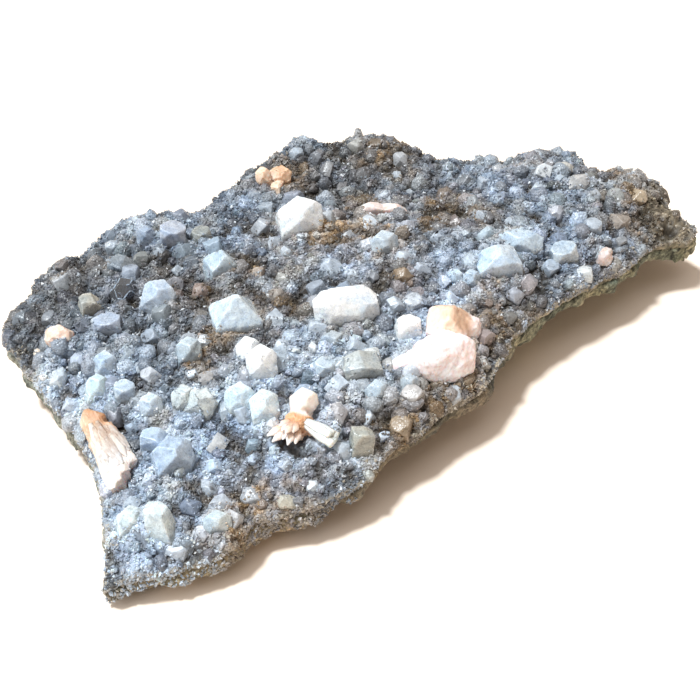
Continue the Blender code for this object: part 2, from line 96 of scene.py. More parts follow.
def edge_distance(points, corners=None):
    """Distance from the outline, positive inside it."""
    corners = np.array(OUTLINE if corners is None else corners, float)
    nearest = np.full(len(points), 1e9)
    inside = np.zeros(len(points), bool)
    for a, b in zip(corners, np.roll(corners, -1, 0)):
        side = b - a
        t = np.clip(((points - a) @ side) / (side @ side), 0.0, 1.0)
        nearest = np.minimum(nearest, np.hypot(*(points - (a + t[:, None] * side)).T))
        if a[1] != b[1]:
            crosses = (a[1] > points[:, 1]) != (b[1] > points[:, 1])
            inside ^= crosses & (points[:, 0] < (b[0] - a[0]) * (points[:, 1] - a[1]) / (b[1] - a[1]) + a[0])
    return np.where(inside, nearest, -nearest)


def bumps(points, table):
    total = np.zeros(len(points))
    for x, y, radius, height in table:
        total += height * np.exp(-((points[:, 0] - x) ** 2 + (points[:, 1] - y) ** 2) / (2.0 * radius ** 2))
    return total


def rough(points, size, seed):
    return np.array([noise.noise(Vector((x / size, y / size, seed))) for x, y in points])


def arch(points, d=None):
    x, y = points[:, 0], points[:, 1]
    d = np.maximum(edge_distance(points) if d is None else d, 0.0)
    return (14.5 + 0.04 * x + 0.07 * y + 5.0 * (1.0 - (x / 100.0) ** 2)
            + 5.0 * (1.0 - np.exp(-d / 9.0)) + bumps(points, SWELLS))


def top_height(points, d=None):
    return arch(points, d) + 1.3 * rough(points, 8.0, 3.1)


def parting_height(points, d=None):
    d = np.maximum(edge_distance(points) if d is None else d, 0.0)
    return arch(points, d) - 2.5 - 3.2 * (1.0 - np.exp(-d / 8.0))


def under_height(points, d=None):
    d = np.maximum(edge_distance(points) if d is None else d, 0.0)
    height = (arch(points, d) - 5.8 - 0.95 * d + 3.6 * rough(points, 21.0, 7.7)
              + 1.2 * rough(points, 7.0, 1.3) + bumps(points, UNDER) * (1.0 - np.exp(-d / 7.0)))
    return np.clip(height, 0.0, parting_height(points, d) - 0.4 - 2.4)


# ---------------------------------------------------------------------------
# Noise on arrays of points
# ---------------------------------------------------------------------------
_G = np.random.default_rng(11).normal(size=(256, 3))
_G /= np.linalg.norm(_G, axis=1)[:, None]


def _hash(i, seed):
    h = (i[:, 0] * 374761393 + i[:, 1] * 668265263 + i[:, 2] * 1274126177 + seed * 974711) & 0xFFFFFFFF
    h = ((h ^ (h >> 13)) * 1103515245) & 0xFFFFFFFF
    return (h ^ (h >> 16)) & 255


def perlin(p, seed=0):
    i = np.floor(p).astype(np.int64)
    f = p - i
    u = f * f * f * (f * (f * 6 - 15) + 10)
    total = np.zeros(len(p))
    for dx in (0, 1):
        for dy in (0, 1):
            for dz in (0, 1):
                c = np.array([dx, dy, dz])
                g = _G[_hash(i + c, seed)]
                w = np.prod(np.where(c, u, 1 - u), axis=1)
                total += w * (g * (f - c)).sum(1)
    return total * 1.7


def fbm(p, octaves=3, seed=0, gain=0.5):
    total, amp = np.zeros(len(p)), 1.0
    for k in range(octaves):
        total += amp * perlin(p * 2.0 ** k + 17.3 * k, seed + k)
        amp *= gain
    return total


def cells(p, seed=0):
    """Distance to the nearest scattered point of a plane, and a number for that point."""
    base = np.floor(p).astype(np.int64)
    best, name = np.full(len(p), 9.0), np.zeros(len(p), int)
    for dx in (-1, 0, 1):
        for dy in (-1, 0, 1):
            c = np.column_stack([base[:, 0] + dx, base[:, 1] + dy, np.zeros(len(p), np.int64)])
            jx, jy = _hash(c, seed) / 255.0, _hash(c, seed + 77) / 255.0
            d = np.hypot(p[:, 0] - c[:, 0] - jx, p[:, 1] - c[:, 1] - jy)
            nearer = d < best
            best = np.where(nearer, d, best)
            name = np.where(nearer, _hash(c, seed + 155), name)
    return best, name / 255.0


def knobs(xy, size, seed):
    """Rounded knobs, 0 in the gaps between them and up to 1."""
    d, r = cells(xy / size + 0.25 * np.column_stack([perlin(flat3(xy / size), seed), perlin(flat3(xy / size), seed + 1)]), seed)
    return np.sqrt(np.clip(1.0 - (d / 0.66) ** 2, 0.0, 1.0)) * (0.45 + 0.75 * r)


def flat3(xy, z=0.0):
    return np.column_stack([xy, np.full(len(xy), z)])


# ---------------------------------------------------------------------------
# Meshes from arrays (millimetres in, metres out)
# ---------------------------------------------------------------------------
def mesh_of(name, verts, tris, tint=None, smooth=False, extra=None):
    me = bpy.data.meshes.new(name)
    me.vertices.add(len(verts))
    me.vertices.foreach_set("co", (np.asarray(verts) * MM).astype(np.float32).ravel())
    me.loops.add(len(tris) * 3)
    me.loops.foreach_set("vertex_index", np.asarray(tris).astype(np.int32).ravel())
    me.polygons.add(len(tris))
    me.polygons.foreach_set("loop_start", np.arange(0, len(tris) * 3, 3, dtype=np.int32))
    me.update(calc_edges=True)
    me.polygons.foreach_set("use_smooth", np.full(len(tris), smooth, dtype=bool))
    if tint is not None:
        paint(me, "tint", tint)
    for key, values in (extra or {}).items():
        at = me.attributes.new(key, 'FLOAT', 'POINT')
        at.data.foreach_set("value", np.asarray(values, np.float32))
    me.update()
    return me


def paint(me, key, rgb):
    at = me.attributes.new(key, 'FLOAT_COLOR', 'POINT')
    rgba = np.ones((len(me.vertices), 4), np.float32)
    rgba[:, :3] = rgb
    at.data.foreach_set("color", rgba.ravel())


def arrays_of(ob):
    """Evaluated vertices (mm), triangles and normals of an object."""
    me = bpy.data.meshes.new_from_object(ob.evaluated_get(bpy.context.evaluated_depsgraph_get()))
    me.calc_loop_triangles()
    v = np.empty(len(me.vertices) * 3, np.float32)
    me.vertices.foreach_get("co", v)
    t = np.empty(len(me.loop_triangles) * 3, np.int32)
    me.loop_triangles.foreach_get("vertices", t)
    bpy.data.meshes.remove(me)
    return v.reshape(-1, 3).astype(float) / MM, t.reshape(-1, 3)


def normals_of(v, t):
    n = np.zeros_like(v)
    c = np.cross(v[t[:, 1]] - v[t[:, 0]], v[t[:, 2]] - v[t[:, 0]])
    for k in range(3):
        np.add.at(n, t[:, k], c)
    return n / np.maximum(np.linalg.norm(n, axis=1), 1e-9)[:, None]


def add_piece(name, me, material, replaces=()):
    ob = bpy.data.objects.new(name, me)
    bpy.context.scene.collection.objects.link(ob)
    me.materials.clear()
    me.materials.append(material)
    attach(ob, "root")
    if replaces:
        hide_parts(*replaces)
    return ob


# ---------------------------------------------------------------------------
# Camera: 43 degrees above the table, off the front left corner.
# ---------------------------------------------------------------------------
VIEW_AZ, VIEW_EL, VIEW_D = -37.0, 43.0, 335.0
TARGET = (-15.18 + SHIFT, -21.21, 16.0)
_a, _e = math.radians(VIEW_AZ), math.radians(VIEW_EL)
BACK = Vector((math.sin(_a) * math.cos(_e), -math.cos(_a) * math.cos(_e), math.sin(_e)))
cam_data = bpy.data.cameras.new("camera")
cam_data.lens = 18.0 / math.tan(math.radians(15.0))
cam_data.sensor_width = 36.0
cam_data.clip_start, cam_data.clip_end = 0.01, 20.0
camera = bpy.data.objects.new("camera", cam_data)
bpy.context.scene.collection.objects.link(camera)
camera.location = Vector(TARGET) * MM + BACK * VIEW_D * MM
camera.rotation_mode = 'QUATERNION'
camera.rotation_quaternion = (-BACK).to_track_quat('-Z', 'Y')
bpy.context.scene.camera = camera

# Footprints of the large crystals: x, y, radius (mm, layout)
BIG = []
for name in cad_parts:
    if name not in ("quartz_druse_crust", "basalt_matrix"):
        low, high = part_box(name)
        BIG.append(((low.x + high.x) / 2 / MM - SHIFT, (low.y + high.y) / 2 / MM,
                    min(high.x - low.x, high.y - low.y) / 2 / MM))
BIG = np.array(BIG)

# ---------------------------------------------------------------------------
# Where the surface is brown, dark (dark stone, with painted shade in the hollows), blue or pale, where it is lighter
# or darker
# (partly the stone's tone, partly painted light and shade), and where its grain is coarse:
# x, y, radius (mm, layout), strength
# ---------------------------------------------------------------------------
BROWN = [
    (-42.6, -1.5, 6, 1.0), (-49, -7, 5, 0.9), (-38, 14, 8, 0.8), (-22.7, 14, 5, 1.0), (-44, 21, 6, 0.6),
    (10, 42, 9, 0.9), (39, 33, 10, 0.9), (38, 5, 9, 0.9), (11, 1, 10, 0.8), (3.6, 12, 9, 0.7),
    (17, -41, 7, 0.9), (22, -35, 6, 0.7), (85, -29, 11, 0.9), (77, -30, 8, 0.7), (84, -39, 8, 0.9),
    (-10, -50, 8, 0.9), (-23, -50, 7, 0.9), (-1, -50, 7, 0.9), (-62, -46, 6, 1.0), (-69, -50, 6, 0.9),
    (-51, 38, 9, 0.35), (-42, 32, 6, 0.4), (-53, 24, 7, 0.3), (39, -5, 10, 0.6), (-28, 1, 6, 0.8),
    (-24, -2, 6, 0.6), (30, -38, 8, 0.5), (-72, 36, 8, 0.4), (60, -38, 7, 0.5), (-12, 10, 7, 0.5),
    (72, 6, 8, 0.5), (88, -12, 9, 0.7), (-30, -44, 7, 0.5), (-16, -14, 5, 0.6), (-60, 46, 9, 0.5),
    (3.5, 11, 10, 1.0), (-8, 22, 6, 0.7), (-36, -3, 5, 0.9), (29.5, -1.0, 6, 0.9), (-22, -6, 5, 0.9), (6, -14, 8, 0.7), (21, 21, 8, 0.8),
    (-33, -10, 5, 0.5), (-52, -50, 7, 0.6), (14, 12, 7, 0.6), (47, 36, 6, 0.7), (8, -43, 5, 0.8),
]
DARK = [
    (-57, 33, 13, 0.6), (-66, 42, 10, 0.6), (12, 44, 12, 0.45), (28, 44, 12, 0.5), (22, 33, 12, 0.5),
    (-51, 37, 10, 0.9), (-42, 32, 8, 0.8), (-54, 23, 9, 0.9), (-61, -5, 4, 0.9), (-54, -14, 4, 0.9),
    (-60, -17, 4, 0.7), (-43, -9, 4, 0.8), (-60, -31, 5, 0.5), (-56, -41, 5, 0.6), (-50, -47, 5, 0.5),
    (-71, -38, 6, 0.5), (-77, -37, 5, 0.3), (24, 31, 11, 0.8), (38, 4, 9, 0.9), (-43, -54, 5, 0.6),
    (-10, -50, 8, 0.6), (-26, -48, 6, 0.6), (22, -8, 8, 0.3), (53, -7, 9, 0.5), (16, -41, 5, 0.6),
    (-79, 37, 8, 0.7), (-76, 42, 9, 0.8), (42, -37, 8, 0.4), (-64, 34, 8, 0.9), (30, 22, 8, 0.6),
    (-32, 24, 6, 0.4), (16, 40, 8, 0.6), (-49, 48, 8, 0.6), (86, -36, 6, 0.6), (48, 10, 6, 0.6),
]
BLUE = [
    (-50, 30, 12, 0.5), (-62, 22, 11, 0.6), (-74, 26, 10, 0.5), (-74, 10, 10, 0.7),
    (-60, -32, 11, 0.9), (-56, -42, 10, 1.0), (-47, -49, 8, 0.8), (-18, 29, 10, 0.9), (-88, -42, 10, 0.7),
    (55, -33, 10, 0.9), (47, -29, 9, 0.9), (-3.5, -4, 10, 0.8), (7, -20, 11, 0.9), (-27, -14, 8, 0.7),
    (20, -20, 10, 0.8), (-70, 2, 12, 0.7), (60, 0, 14, 0.7), (72, 3, 10, 0.5), (44, 14, 9, 0.6),
    (-30, 30, 8, 0.6), (-10, 40, 10, 0.6), (-35, -42, 8, 0.6), (-40, -22, 9, 0.7), (28, 14, 7, 0.5),
    (-60, 14, 8, 0.5), (62, -22, 8, 0.6), (-12, 22, 9, 0.6), (-66, -44, 8, 0.6),
]
PALE = [
    (-75, 12, 12, 0.8), (-66, 10, 10, 0.8), (-80, 4, 9, 0.7), (-62, 20, 8, 0.5), (-58, 12, 8, 0.6),
    (-54, -37, 12, 0.75), (-83, -44, 12, 0.9), (-73, -45, 10, 0.8), (-12, -43, 10, 0.55), (-46, -44, 8, 0.6),
    (-62, -33, 10, 0.6), (-40, -46, 9, 0.6),
    (-66, 2, 12, 0.9), (-55, 4, 8, 0.8), (-60, 12, 9, 0.5), (-23, -38, 8, 0.8), (-40, -20, 9, 0.8),
    (-55, -19, 7, 0.8), (20, -18, 9, 0.7), (10, -12, 10, 0.7), (-28, -19, 7, 0.6), (-78, -46, 8, 0.6),
    (-30, -52, 6, 0.7), (-20, 50, 8, 0.5), (28, 8, 6, 0.4), (76, 6, 8, 0.6), (-40, 42, 8, 0.5),
    (-5, -8, 8, 0.6), (55, -28, 8, 0.6), (-10, 26, 7, 0.5), (30, -24, 7, 0.6), (-36, -46, 6, 0.6),
    (-72, -46, 6, 0.6), (-2, -24, 6, 0.5),
]
COARSE = [
    (-55, 30, 16, 1.0), (-66, 10, 12, 0.8), (60, 0, 22, 1.0), (30, 40, 14, 0.8), (80, -15, 14, 1.0),
    (-30, -40, 12, 0.6), (-5, -46, 12, 0.8), (30, 12, 14, 0.8), (-70, 36, 10, 0.8), (-36, 42, 10, 0.9),
    (-20, -24, 10, 0.7), (16, -22, 12, 0.7), (-45, -20, 9, 0.5), (45, -14, 10, 0.6), (-2, 40, 10, 0.6),
]
LIGHTER = [(-62, -40, 24, 0.54), (-34, -36, 18, 0.36), (-84, -46, 16, 0.48), (10, -36, 14, 0.42), (-88, 8, 15, 0.70), (6, 8, 16, 0.54), (-31, -57, 11, 0.22)]
DARKER = [(-14, -16, 14, 0.15), (-58, 2, 14, 0.12), (-62, 34, 20, 0.52), (-76, 20, 16, 0.22), (20, 40, 26, 0.22), (-20, 46, 18, 0.20), (50, 28, 16, 0.18), (80, 0, 16, 0.12)]
TAIL = [(89, -31, 8, 1.0), (86, -38, 8, 1.0), (95, -24, 5, 0.9)]
FINE = [
    (-18, 30, 10, 1.0), (-60, -38, 13, 1.0), (-84, -42, 10, 0.8), (-5, -3, 8, 0.4), (-50, -47, 9, 0.7),
    (52, -34, 8, 0.7), (-30, 8, 8, 0.5), (0, 30, 7, 0.4),
]


def zone(points, table):
    total = np.zeros(len(points))
    for x, y, radius, strength in table:
        q = ((points[:, 0] - x) ** 2 + (points[:, 1] - y) ** 2) / radius ** 2
        total = np.maximum(total, strength * np.exp(-q * 0.8))
    return total


def zones(points):
    """Brown, dark, blue and pale weights with broken borders."""
    p = flat3(points / 5.0)
    wob = np.column_stack([fbm(p, 3, 5), fbm(p, 3, 9)]) * 3.0
    q = points + wob
    return zone(q, BROWN), zone(q, DARK), zone(q, BLUE), zone(q, PALE)


def relief(xy):
    """Height of the knobbly ground over the smooth plate, mm."""
    coarse, fine = zone(xy, COARSE), zone(xy, FINE)
    wave = 1.3 * fbm(flat3(xy / 8.5), 3, 21)
    big = knobs(xy, 4.2, 31) * (0.75 + 0.85 * coarse) * (1.0 - 0.45 * fine)
    small = knobs(xy, 1.9, 37) * 0.65
    pits = np.clip(perlin(flat3(xy / 4.2), 43) - 0.25, 0, 1) * 2.4
    collar = np.zeros(len(xy))
    for x, y, r in BIG:
        gap = np.hypot(xy[:, 0] - x, xy[:, 1] - y) - r * 0.9
        collar = np.maximum(collar, 0.9 * np.exp(-(gap / 1.6) ** 2))
    hole = 3.0 * np.exp(-((xy[:, 0] - 85.0) ** 2 + (xy[:, 1] + 38.6) ** 2) / 1.6 ** 2)
    hollow = 3.2 * np.exp(-((xy[:, 0] + 76.6) ** 2 + (xy[:, 1] + 9.0) ** 2) / 2.3 ** 2)
    return wave + big + small - pits - 0.75 + collar - hole - hollow


def mix(a, b, w):
    return a * (1.0 - w[:, None]) + np.asarray(b, float) * w[:, None]


def patch_tint(xy, rise):
    """Local colour of the druse: slate, blue-grey and blue-white by patch and by height, lighter the higher the
    ground stands (painted light), with olive-tan patches and the brown zones, and dark brown in the gaps and low
    places (partly dirt, partly painted shade)."""
    brown, dark, blue, pale = zones(xy)
    # tone climbs with rise: raised ground painted lighter and low ground darker, painted light and shade
    tone = 0.42 + 0.55 * fbm(flat3(xy / 6.5), 3, 91) + 0.30 * np.clip(rise, -1.5, 1.5) + 0.25 * pale - 0.35 * dark
    tint = np.tile(np.array([0.115, 0.15, 0.205]), (len(xy), 1))
    tint = mix(tint, (0.315, 0.395, 0.505), np.clip(tone / 0.45, 0, 1))
    tint = mix(tint, (0.62, 0.71, 0.81), np.clip((tone - 0.45) / 0.55, 0, 1))
    tint = mix(tint, (0.285, 0.385, 0.56), blue * 0.60)
    # random darker and lighter patches of 2-4 mm: painted shade and light between clumps, not tied to the relief
    tint = tint * np.exp(0.55 * fbm(flat3(xy / 4.2), 2, 93))[:, None]
    warm = np.clip(1.1 * fbm(flat3(xy / 8.0), 3, 95) - 0.08, 0, 0.7) * (1.0 - 0.7 * blue)
    tint = mix(tint, (0.48, 0.41, 0.31), warm * 0.75)
    soil = np.clip(brown * (1.0 + 0.6 * fbm(flat3(xy / 2.5), 2, 97)), 0, 1)
    # brown coating, darker where the ground lies low: real brown colour with painted shade in the low places
    soil_tint = mix(np.tile(np.array([0.115, 0.066, 0.025]), (len(xy), 1)), (0.40, 0.255, 0.12),
                    np.clip(0.35 + 0.35 * rise + 0.6 * fbm(flat3(xy / 3.5), 2, 99), 0, 1))
    tint = tint * (1 - 0.94 * soil[:, None]) + soil_tint * 0.94 * soil[:, None]
    # dark zones: near-black, stronger where the ground lies low: dark stone with painted shade in the hollows
    tint = mix(tint, (0.062, 0.054, 0.040), np.clip(dark * (0.62 - 0.34 * rise), 0, 0.9))
    tail = np.clip(zone(xy, TAIL) * 1.6 - 0.5, 0, 1)
    rock = mix(np.tile(np.array([0.17, 0.135, 0.09]), (len(xy), 1)), (0.46, 0.38, 0.27),
               np.clip(0.4 + 0.9 * fbm(flat3(xy / 2.2), 3, 103), 0, 1))
    tint = tint * (1 - tail[:, None]) + rock * tail[:, None]
    # low: dark brown painted into the gaps and low places, painted shade and partly dirt
    low = np.clip(0.20 - 0.70 * rise, 0, 1)
    tint = mix(tint, (0.075, 0.058, 0.038), low * 0.85)
    # LIGHTER and DARKER: broad lighter and darker patches, partly the stone's tone, partly painted light and shade of
    # the swells and hollows
    tint = tint * 0.83 * np.exp(zone(xy, LIGHTER) - zone(xy, DARKER))[:, None]
    # near-black in the hole by the tail and the hollow by the sheaf: painted shade in the recesses
    hole = np.exp(-((xy[:, 0] - 85.0) ** 2 + (xy[:, 1] + 38.6) ** 2) / 1.5 ** 2)
    hollow = np.exp(-((xy[:, 0] + 76.6) ** 2 + (xy[:, 1] + 9.0) ** 2) / 2.4 ** 2)
    return mix(tint, (0.03, 0.024, 0.018), np.clip(hole + hollow, 0, 1) * 0.9)


# ---------------------------------------------------------------------------
# Materials
# ---------------------------------------------------------------------------
def principled(name):
    mat = bpy.data.materials.new(name)
    mat.use_nodes = True
    nt = mat.node_tree
    return mat, nt, nt.nodes["Principled BSDF"]


def node(nt, kind, **settings):
    n = nt.nodes.new(kind)
    for key, value in settings.items():
        if key.startswith("_"):
            n.inputs[key[1:].replace("_", " ")].default_value = value
        else:
            setattr(n, key, value)
    return n


def noise_tex(nt, scale, detail=4.0, roughness=0.55, coord=None):
    n = node(nt, "ShaderNodeTexNoise")
    n.inputs["Scale"].default_value = scale
    n.inputs["Detail"].default_value = detail
    n.inputs["Roughness"].default_value = roughness
    if coord is not None:
        nt.links.new(coord, n.inputs["Vector"])
    return n


def object_coord(nt):
    return nt.nodes.new("ShaderNodeTexCoord").outputs["Object"]


def ramp(nt, fac, stops):
    r = nt.nodes.new("ShaderNodeValToRGB")
    el = r.color_ramp.elements
    while len(el) < len(stops):
        el.new(0.5)
    for e, (pos, value) in zip(el, stops):
        e.position = pos
        e.color = (value, value, value, 1.0) if isinstance(value, float) else (*value, 1.0)
    nt.links.new(fac, r.inputs["Fac"])
    return r.outputs["Color"]


def mul(nt, a, b, fac=1.0, mode='MULTIPLY'):
    m = nt.nodes.new("ShaderNodeMix")
    m.data_type = 'RGBA'
    m.blend_type = mode
    m.inputs["Factor"].default_value = fac
    nt.links.new(a, m.inputs["A"])
    nt.links.new(b, m.inputs["B"])
    return m.outputs["Result"]


def tint_attr(nt, key="tint"):
    n = nt.nodes.new("ShaderNodeAttribute")
    n.attribute_name = key
    return n.outputs["Color"]


def bump(nt, height, strength, distance, normal=None):
    b = nt.nodes.new("ShaderNodeBump")
    b.inputs["Strength"].default_value = strength
    b.inputs["Distance"].default_value = distance
    nt.links.new(height, b.inputs["Height"])
    if normal is not None:
        nt.links.new(normal, b.inputs["Normal"])
    return b.outputs["Normal"]


def set_in(shader, **values):
    for key, value in values.items():
        shader.inputs[key.replace("_", " ")].default_value = value


def make_crust_material():
    mat, nt, sh = principled("druse_ground")
    co = object_coord(nt)
    fine = noise_tex(nt, 900.0, 3.0, 0.6, co)
    mid = noise_tex(nt, 260.0, 4.0, 0.6, co)
    shade = ramp(nt, fine.outputs["Fac"], [(0.3, 0.45), (0.55, 1.0), (0.75, 1.5)])
    shade2 = ramp(nt, mid.outputs["Fac"], [(0.3, 0.65), (0.7, 1.25)])
    col = mul(nt, mul(nt, tint_attr(nt), shade), shade2)
    nt.links.new(col, sh.inputs["Base Color"])
    rgh = ramp(nt, fine.outputs["Fac"], [(0.35, 0.75), (0.65, 0.35)])
    nt.links.new(rgh, sh.inputs["Roughness"])
    nt.links.new(bump(nt, fine.outputs["Fac"], 0.6, 0.0004), sh.inputs["Normal"])
    return mat


def make_grain_material(name, roughness, transmission, sub, tex_scale, strength, facets=0.0):
    mat, nt, sh = principled(name)
    co = object_coord(nt)
    cloud = noise_tex(nt, tex_scale, 3.0, 0.6, co)
    shade = ramp(nt, cloud.outputs["Fac"], [(0.32, 0.78), (0.5, 1.0), (0.68, 1.18)])
    col = mul(nt, tint_attr(nt), shade)
    rgh = ramp(nt, cloud.outputs["Fac"], [(0.35, roughness), (0.7, roughness + 0.22)])
    nt.links.new(rgh, sh.inputs["Roughness"])
    normal = bump(nt, cloud.outputs["Fac"], strength, 0.0002)
    if facets:
        cell = node(nt, "ShaderNodeTexVoronoi")
        cell.inputs["Scale"].default_value = 1700.0
        nt.links.new(co, cell.inputs["Vector"])
        tone = ramp(nt, cell.outputs["Distance"], [(0.0, 1.22), (0.35, 1.0), (0.75, 0.62)])
        col = mul(nt, col, tone, facets)
        normal = bump(nt, tone, 0.75 * facets, 0.0004, normal)
    nt.links.new(col, sh.inputs["Base Color"])
    nt.links.new(normal, sh.inputs["Normal"])
    set_in(sh, IOR=1.54, Transmission_Weight=transmission, Subsurface_Weight=sub, Subsurface_Scale=0.0012)
    sh.inputs["Subsurface Radius"].default_value = (1.0, 1.05, 1.15)
    return mat


def make_milky_material():
    mat, nt, sh = principled("milky_crystal")
    co = object_coord(nt)
    cloud = noise_tex(nt, 210.0, 4.0, 0.55, co)
    fine = noise_tex(nt, 900.0, 3.0, 0.6, co)
    frost = noise_tex(nt, 2700.0, 2.0, 0.6, co)
    cloud.inputs["Distortion"].default_value = 0.7
    shade = ramp(nt, cloud.outputs["Fac"], [(0.28, (0.72, 0.80, 0.90)), (0.44, (0.93, 0.96, 1.0)), (0.56, (1.02, 1.02, 1.02)), (0.72, (1.14, 1.12, 1.09))])
    speck = ramp(nt, fine.outputs["Fac"], [(0.30, 0.87), (0.45, 1.0), (0.72, 1.07)])
    rime = ramp(nt, frost.outputs["Fac"], [(0.30, 0.84), (0.50, 1.0), (0.70, 1.12)])
    nt.links.new(mul(nt, mul(nt, mul(nt, tint_attr(nt), shade), speck), rime), sh.inputs["Base Color"])
    rgh = ramp(nt, fine.outputs["Fac"], [(0.35, 0.16), (0.65, 0.45)])
    nt.links.new(rgh, sh.inputs["Roughness"])
    steps = node(nt, "ShaderNodeTexVoronoi", distance='CHEBYCHEV')
    steps.inputs["Scale"].default_value = 620.0
    nt.links.new(co, steps.inputs["Vector"])
    n1 = bump(nt, cloud.outputs["Fac"], 0.30, 0.0006)
    n2 = bump(nt, steps.outputs["Distance"], 0.22, 0.0004, n1)
    n3 = bump(nt, frost.outputs["Fac"], 0.45, 0.00012, n2)
    nt.links.new(bump(nt, fine.outputs["Fac"], 0.45, 0.00025, n3), sh.inputs["Normal"])
    set_in(sh, IOR=1.53, Transmission_Weight=0.12, Subsurface_Weight=0.80, Subsurface_Scale=0.0022)
    sh.inputs["Subsurface Radius"].default_value = (1.0, 1.0, 1.05)
    return mat


def make_clear_material():
    mat, nt, sh = principled("clear_smoky_crystal")
    co = object_coord(nt)
    cloud = noise_tex(nt, 350.0, 3.0, 0.5, co)
    nt.links.new(bump(nt, cloud.outputs["Fac"], 0.2, 0.0004), sh.inputs["Normal"])
    rgh = ramp(nt, cloud.outputs["Fac"], [(0.4, 0.03), (0.75, 0.12)])
    nt.links.new(rgh, sh.inputs["Roughness"])
    set_in(sh, IOR=1.54, Transmission_Weight=0.92)
    sh.inputs["Base Color"].default_value = (0.90, 0.92, 0.96, 1.0)
    absorb = nt.nodes.new("ShaderNodeVolumeAbsorption")
    absorb.inputs["Color"].default_value = (0.42, 0.48, 0.60, 1.0)
    absorb.inputs["Density"].default_value = 650.0
    nt.links.new(absorb.outputs["Volume"], nt.nodes["Material Output"].inputs["Volume"])
    return mat


def make_stilbite_material(name="stilbite", stretch=None):
    mat, nt, sh = principled(name)
    co = object_coord(nt)
    cloud = noise_tex(nt, 260.0, 4.0, 0.6, co)
    fine = noise_tex(nt, 1300.0, 3.0, 0.6, co)
    shade = ramp(nt, cloud.outputs["Fac"], [(0.3, (0.90, 0.82, 0.76)), (0.5, (1.0, 1.0, 1.0)), (0.7, (1.05, 1.06, 1.08))])
    speck = ramp(nt, fine.outputs["Fac"], [(0.3, 0.88), (0.5, 1.0), (0.7, 1.06)])
    col = mul(nt, mul(nt, tint_attr(nt), shade), speck)
    normal = bump(nt, fine.outputs["Fac"], 0.35, 0.00025)
    if stretch:
        lay = nt.nodes.new("ShaderNodeMapping")
        lay.inputs["Scale"].default_value = stretch
        nt.links.new(co, lay.inputs["Vector"])
        grain = noise_tex(nt, 1.0, 3.0, 0.6, lay.outputs["Vector"])
        line = ramp(nt, grain.outputs["Fac"], [(0.32, 0.90), (0.50, 1.0), (0.68, 1.06)])
        col = mul(nt, col, line)
        normal = bump(nt, grain.outputs["Fac"], 0.8, 0.0005, normal)
    nt.links.new(col, sh.inputs["Base Color"])
    rgh = ramp(nt, cloud.outputs["Fac"], [(0.35, 0.40), (0.7, 0.62)])
    nt.links.new(rgh, sh.inputs["Roughness"])
    nt.links.new(normal, sh.inputs["Normal"])
    set_in(sh, IOR=1.5, Subsurface_Weight=0.45, Subsurface_Scale=0.0025)
    sh.inputs["Subsurface Radius"].default_value = (1.2, 0.8, 0.6)
    return mat


def make_basalt_material():
    mat, nt, sh = principled("basalt")
    co = object_coord(nt)
    big = noise_tex(nt, 90.0, 5.0, 0.6, co)
    fine = noise_tex(nt, 1100.0, 4.0, 0.65, co)
    base = ramp(nt, big.outputs["Fac"], [(0.30, (0.045, 0.050, 0.036)), (0.47, (0.125, 0.110, 0.078)),
                                         (0.60, (0.215, 0.175, 0.122)), (0.75, (0.12, 0.125, 0.10))])
    shade = ramp(nt, fine.outputs["Fac"], [(0.34, 0.28), (0.5, 0.95), (0.68, 1.8)])
    nt.links.new(mul(nt, mul(nt, base, tint_attr(nt)), shade), sh.inputs["Base Color"])
    set_in(sh, Roughness=0.85)
    nt.links.new(bump(nt, fine.outputs["Fac"], 0.8, 0.0004), sh.inputs["Normal"])
    return mat


M_CRUST = make_crust_material()
M_SUGAR = make_grain_material("quartz_sugar", 0.42, 0.14, 0.30, 2600.0, 0.2)
M_NODULE = make_grain_material("quartz_nodule", 0.24, 0.22, 0.40, 700.0, 0.4, 0.85)
M_SMALL = make_grain_material("small_crystal", 0.24, 0.22, 0.50, 500.0, 0.3, 0.35)
M_MILKY = make_milky_material()
M_CLEAR = make_clear_material()
M_STILBITE = make_stilbite_material()
M_SHEAF = make_stilbite_material("stilbite_bladed", (1900.0, 90.0, 1900.0))
M_BASALT = make_basalt_material()

# ---------------------------------------------------------------------------
# Druse ground and basalt: a slab laid out on a grid, made even by voxels, then
# roughened point by point.
# ---------------------------------------------------------------------------
def ragged_outline(amount, size, seed):
    corners = np.array(OUTLINE, float)
    pts = []
    for a, b in zip(corners, np.roll(corners, -1, 0)):
        n = max(1, int(round(np.hypot(*(b - a)) / 1.2)))
        for k in range(n):
            pts.append(a + (b - a) * k / n)
    pts = np.array(pts)
    tang = np.roll(pts, -1, 0) - np.roll(pts, 1, 0)
    tang /= np.linalg.norm(tang, axis=1)[:, None]
    normal = np.column_stack([tang[:, 1], -tang[:, 0]])
    push = amount * fbm(flat3(pts / size, seed * 3.1), 3, seed)
    return pts + normal * push[:, None]


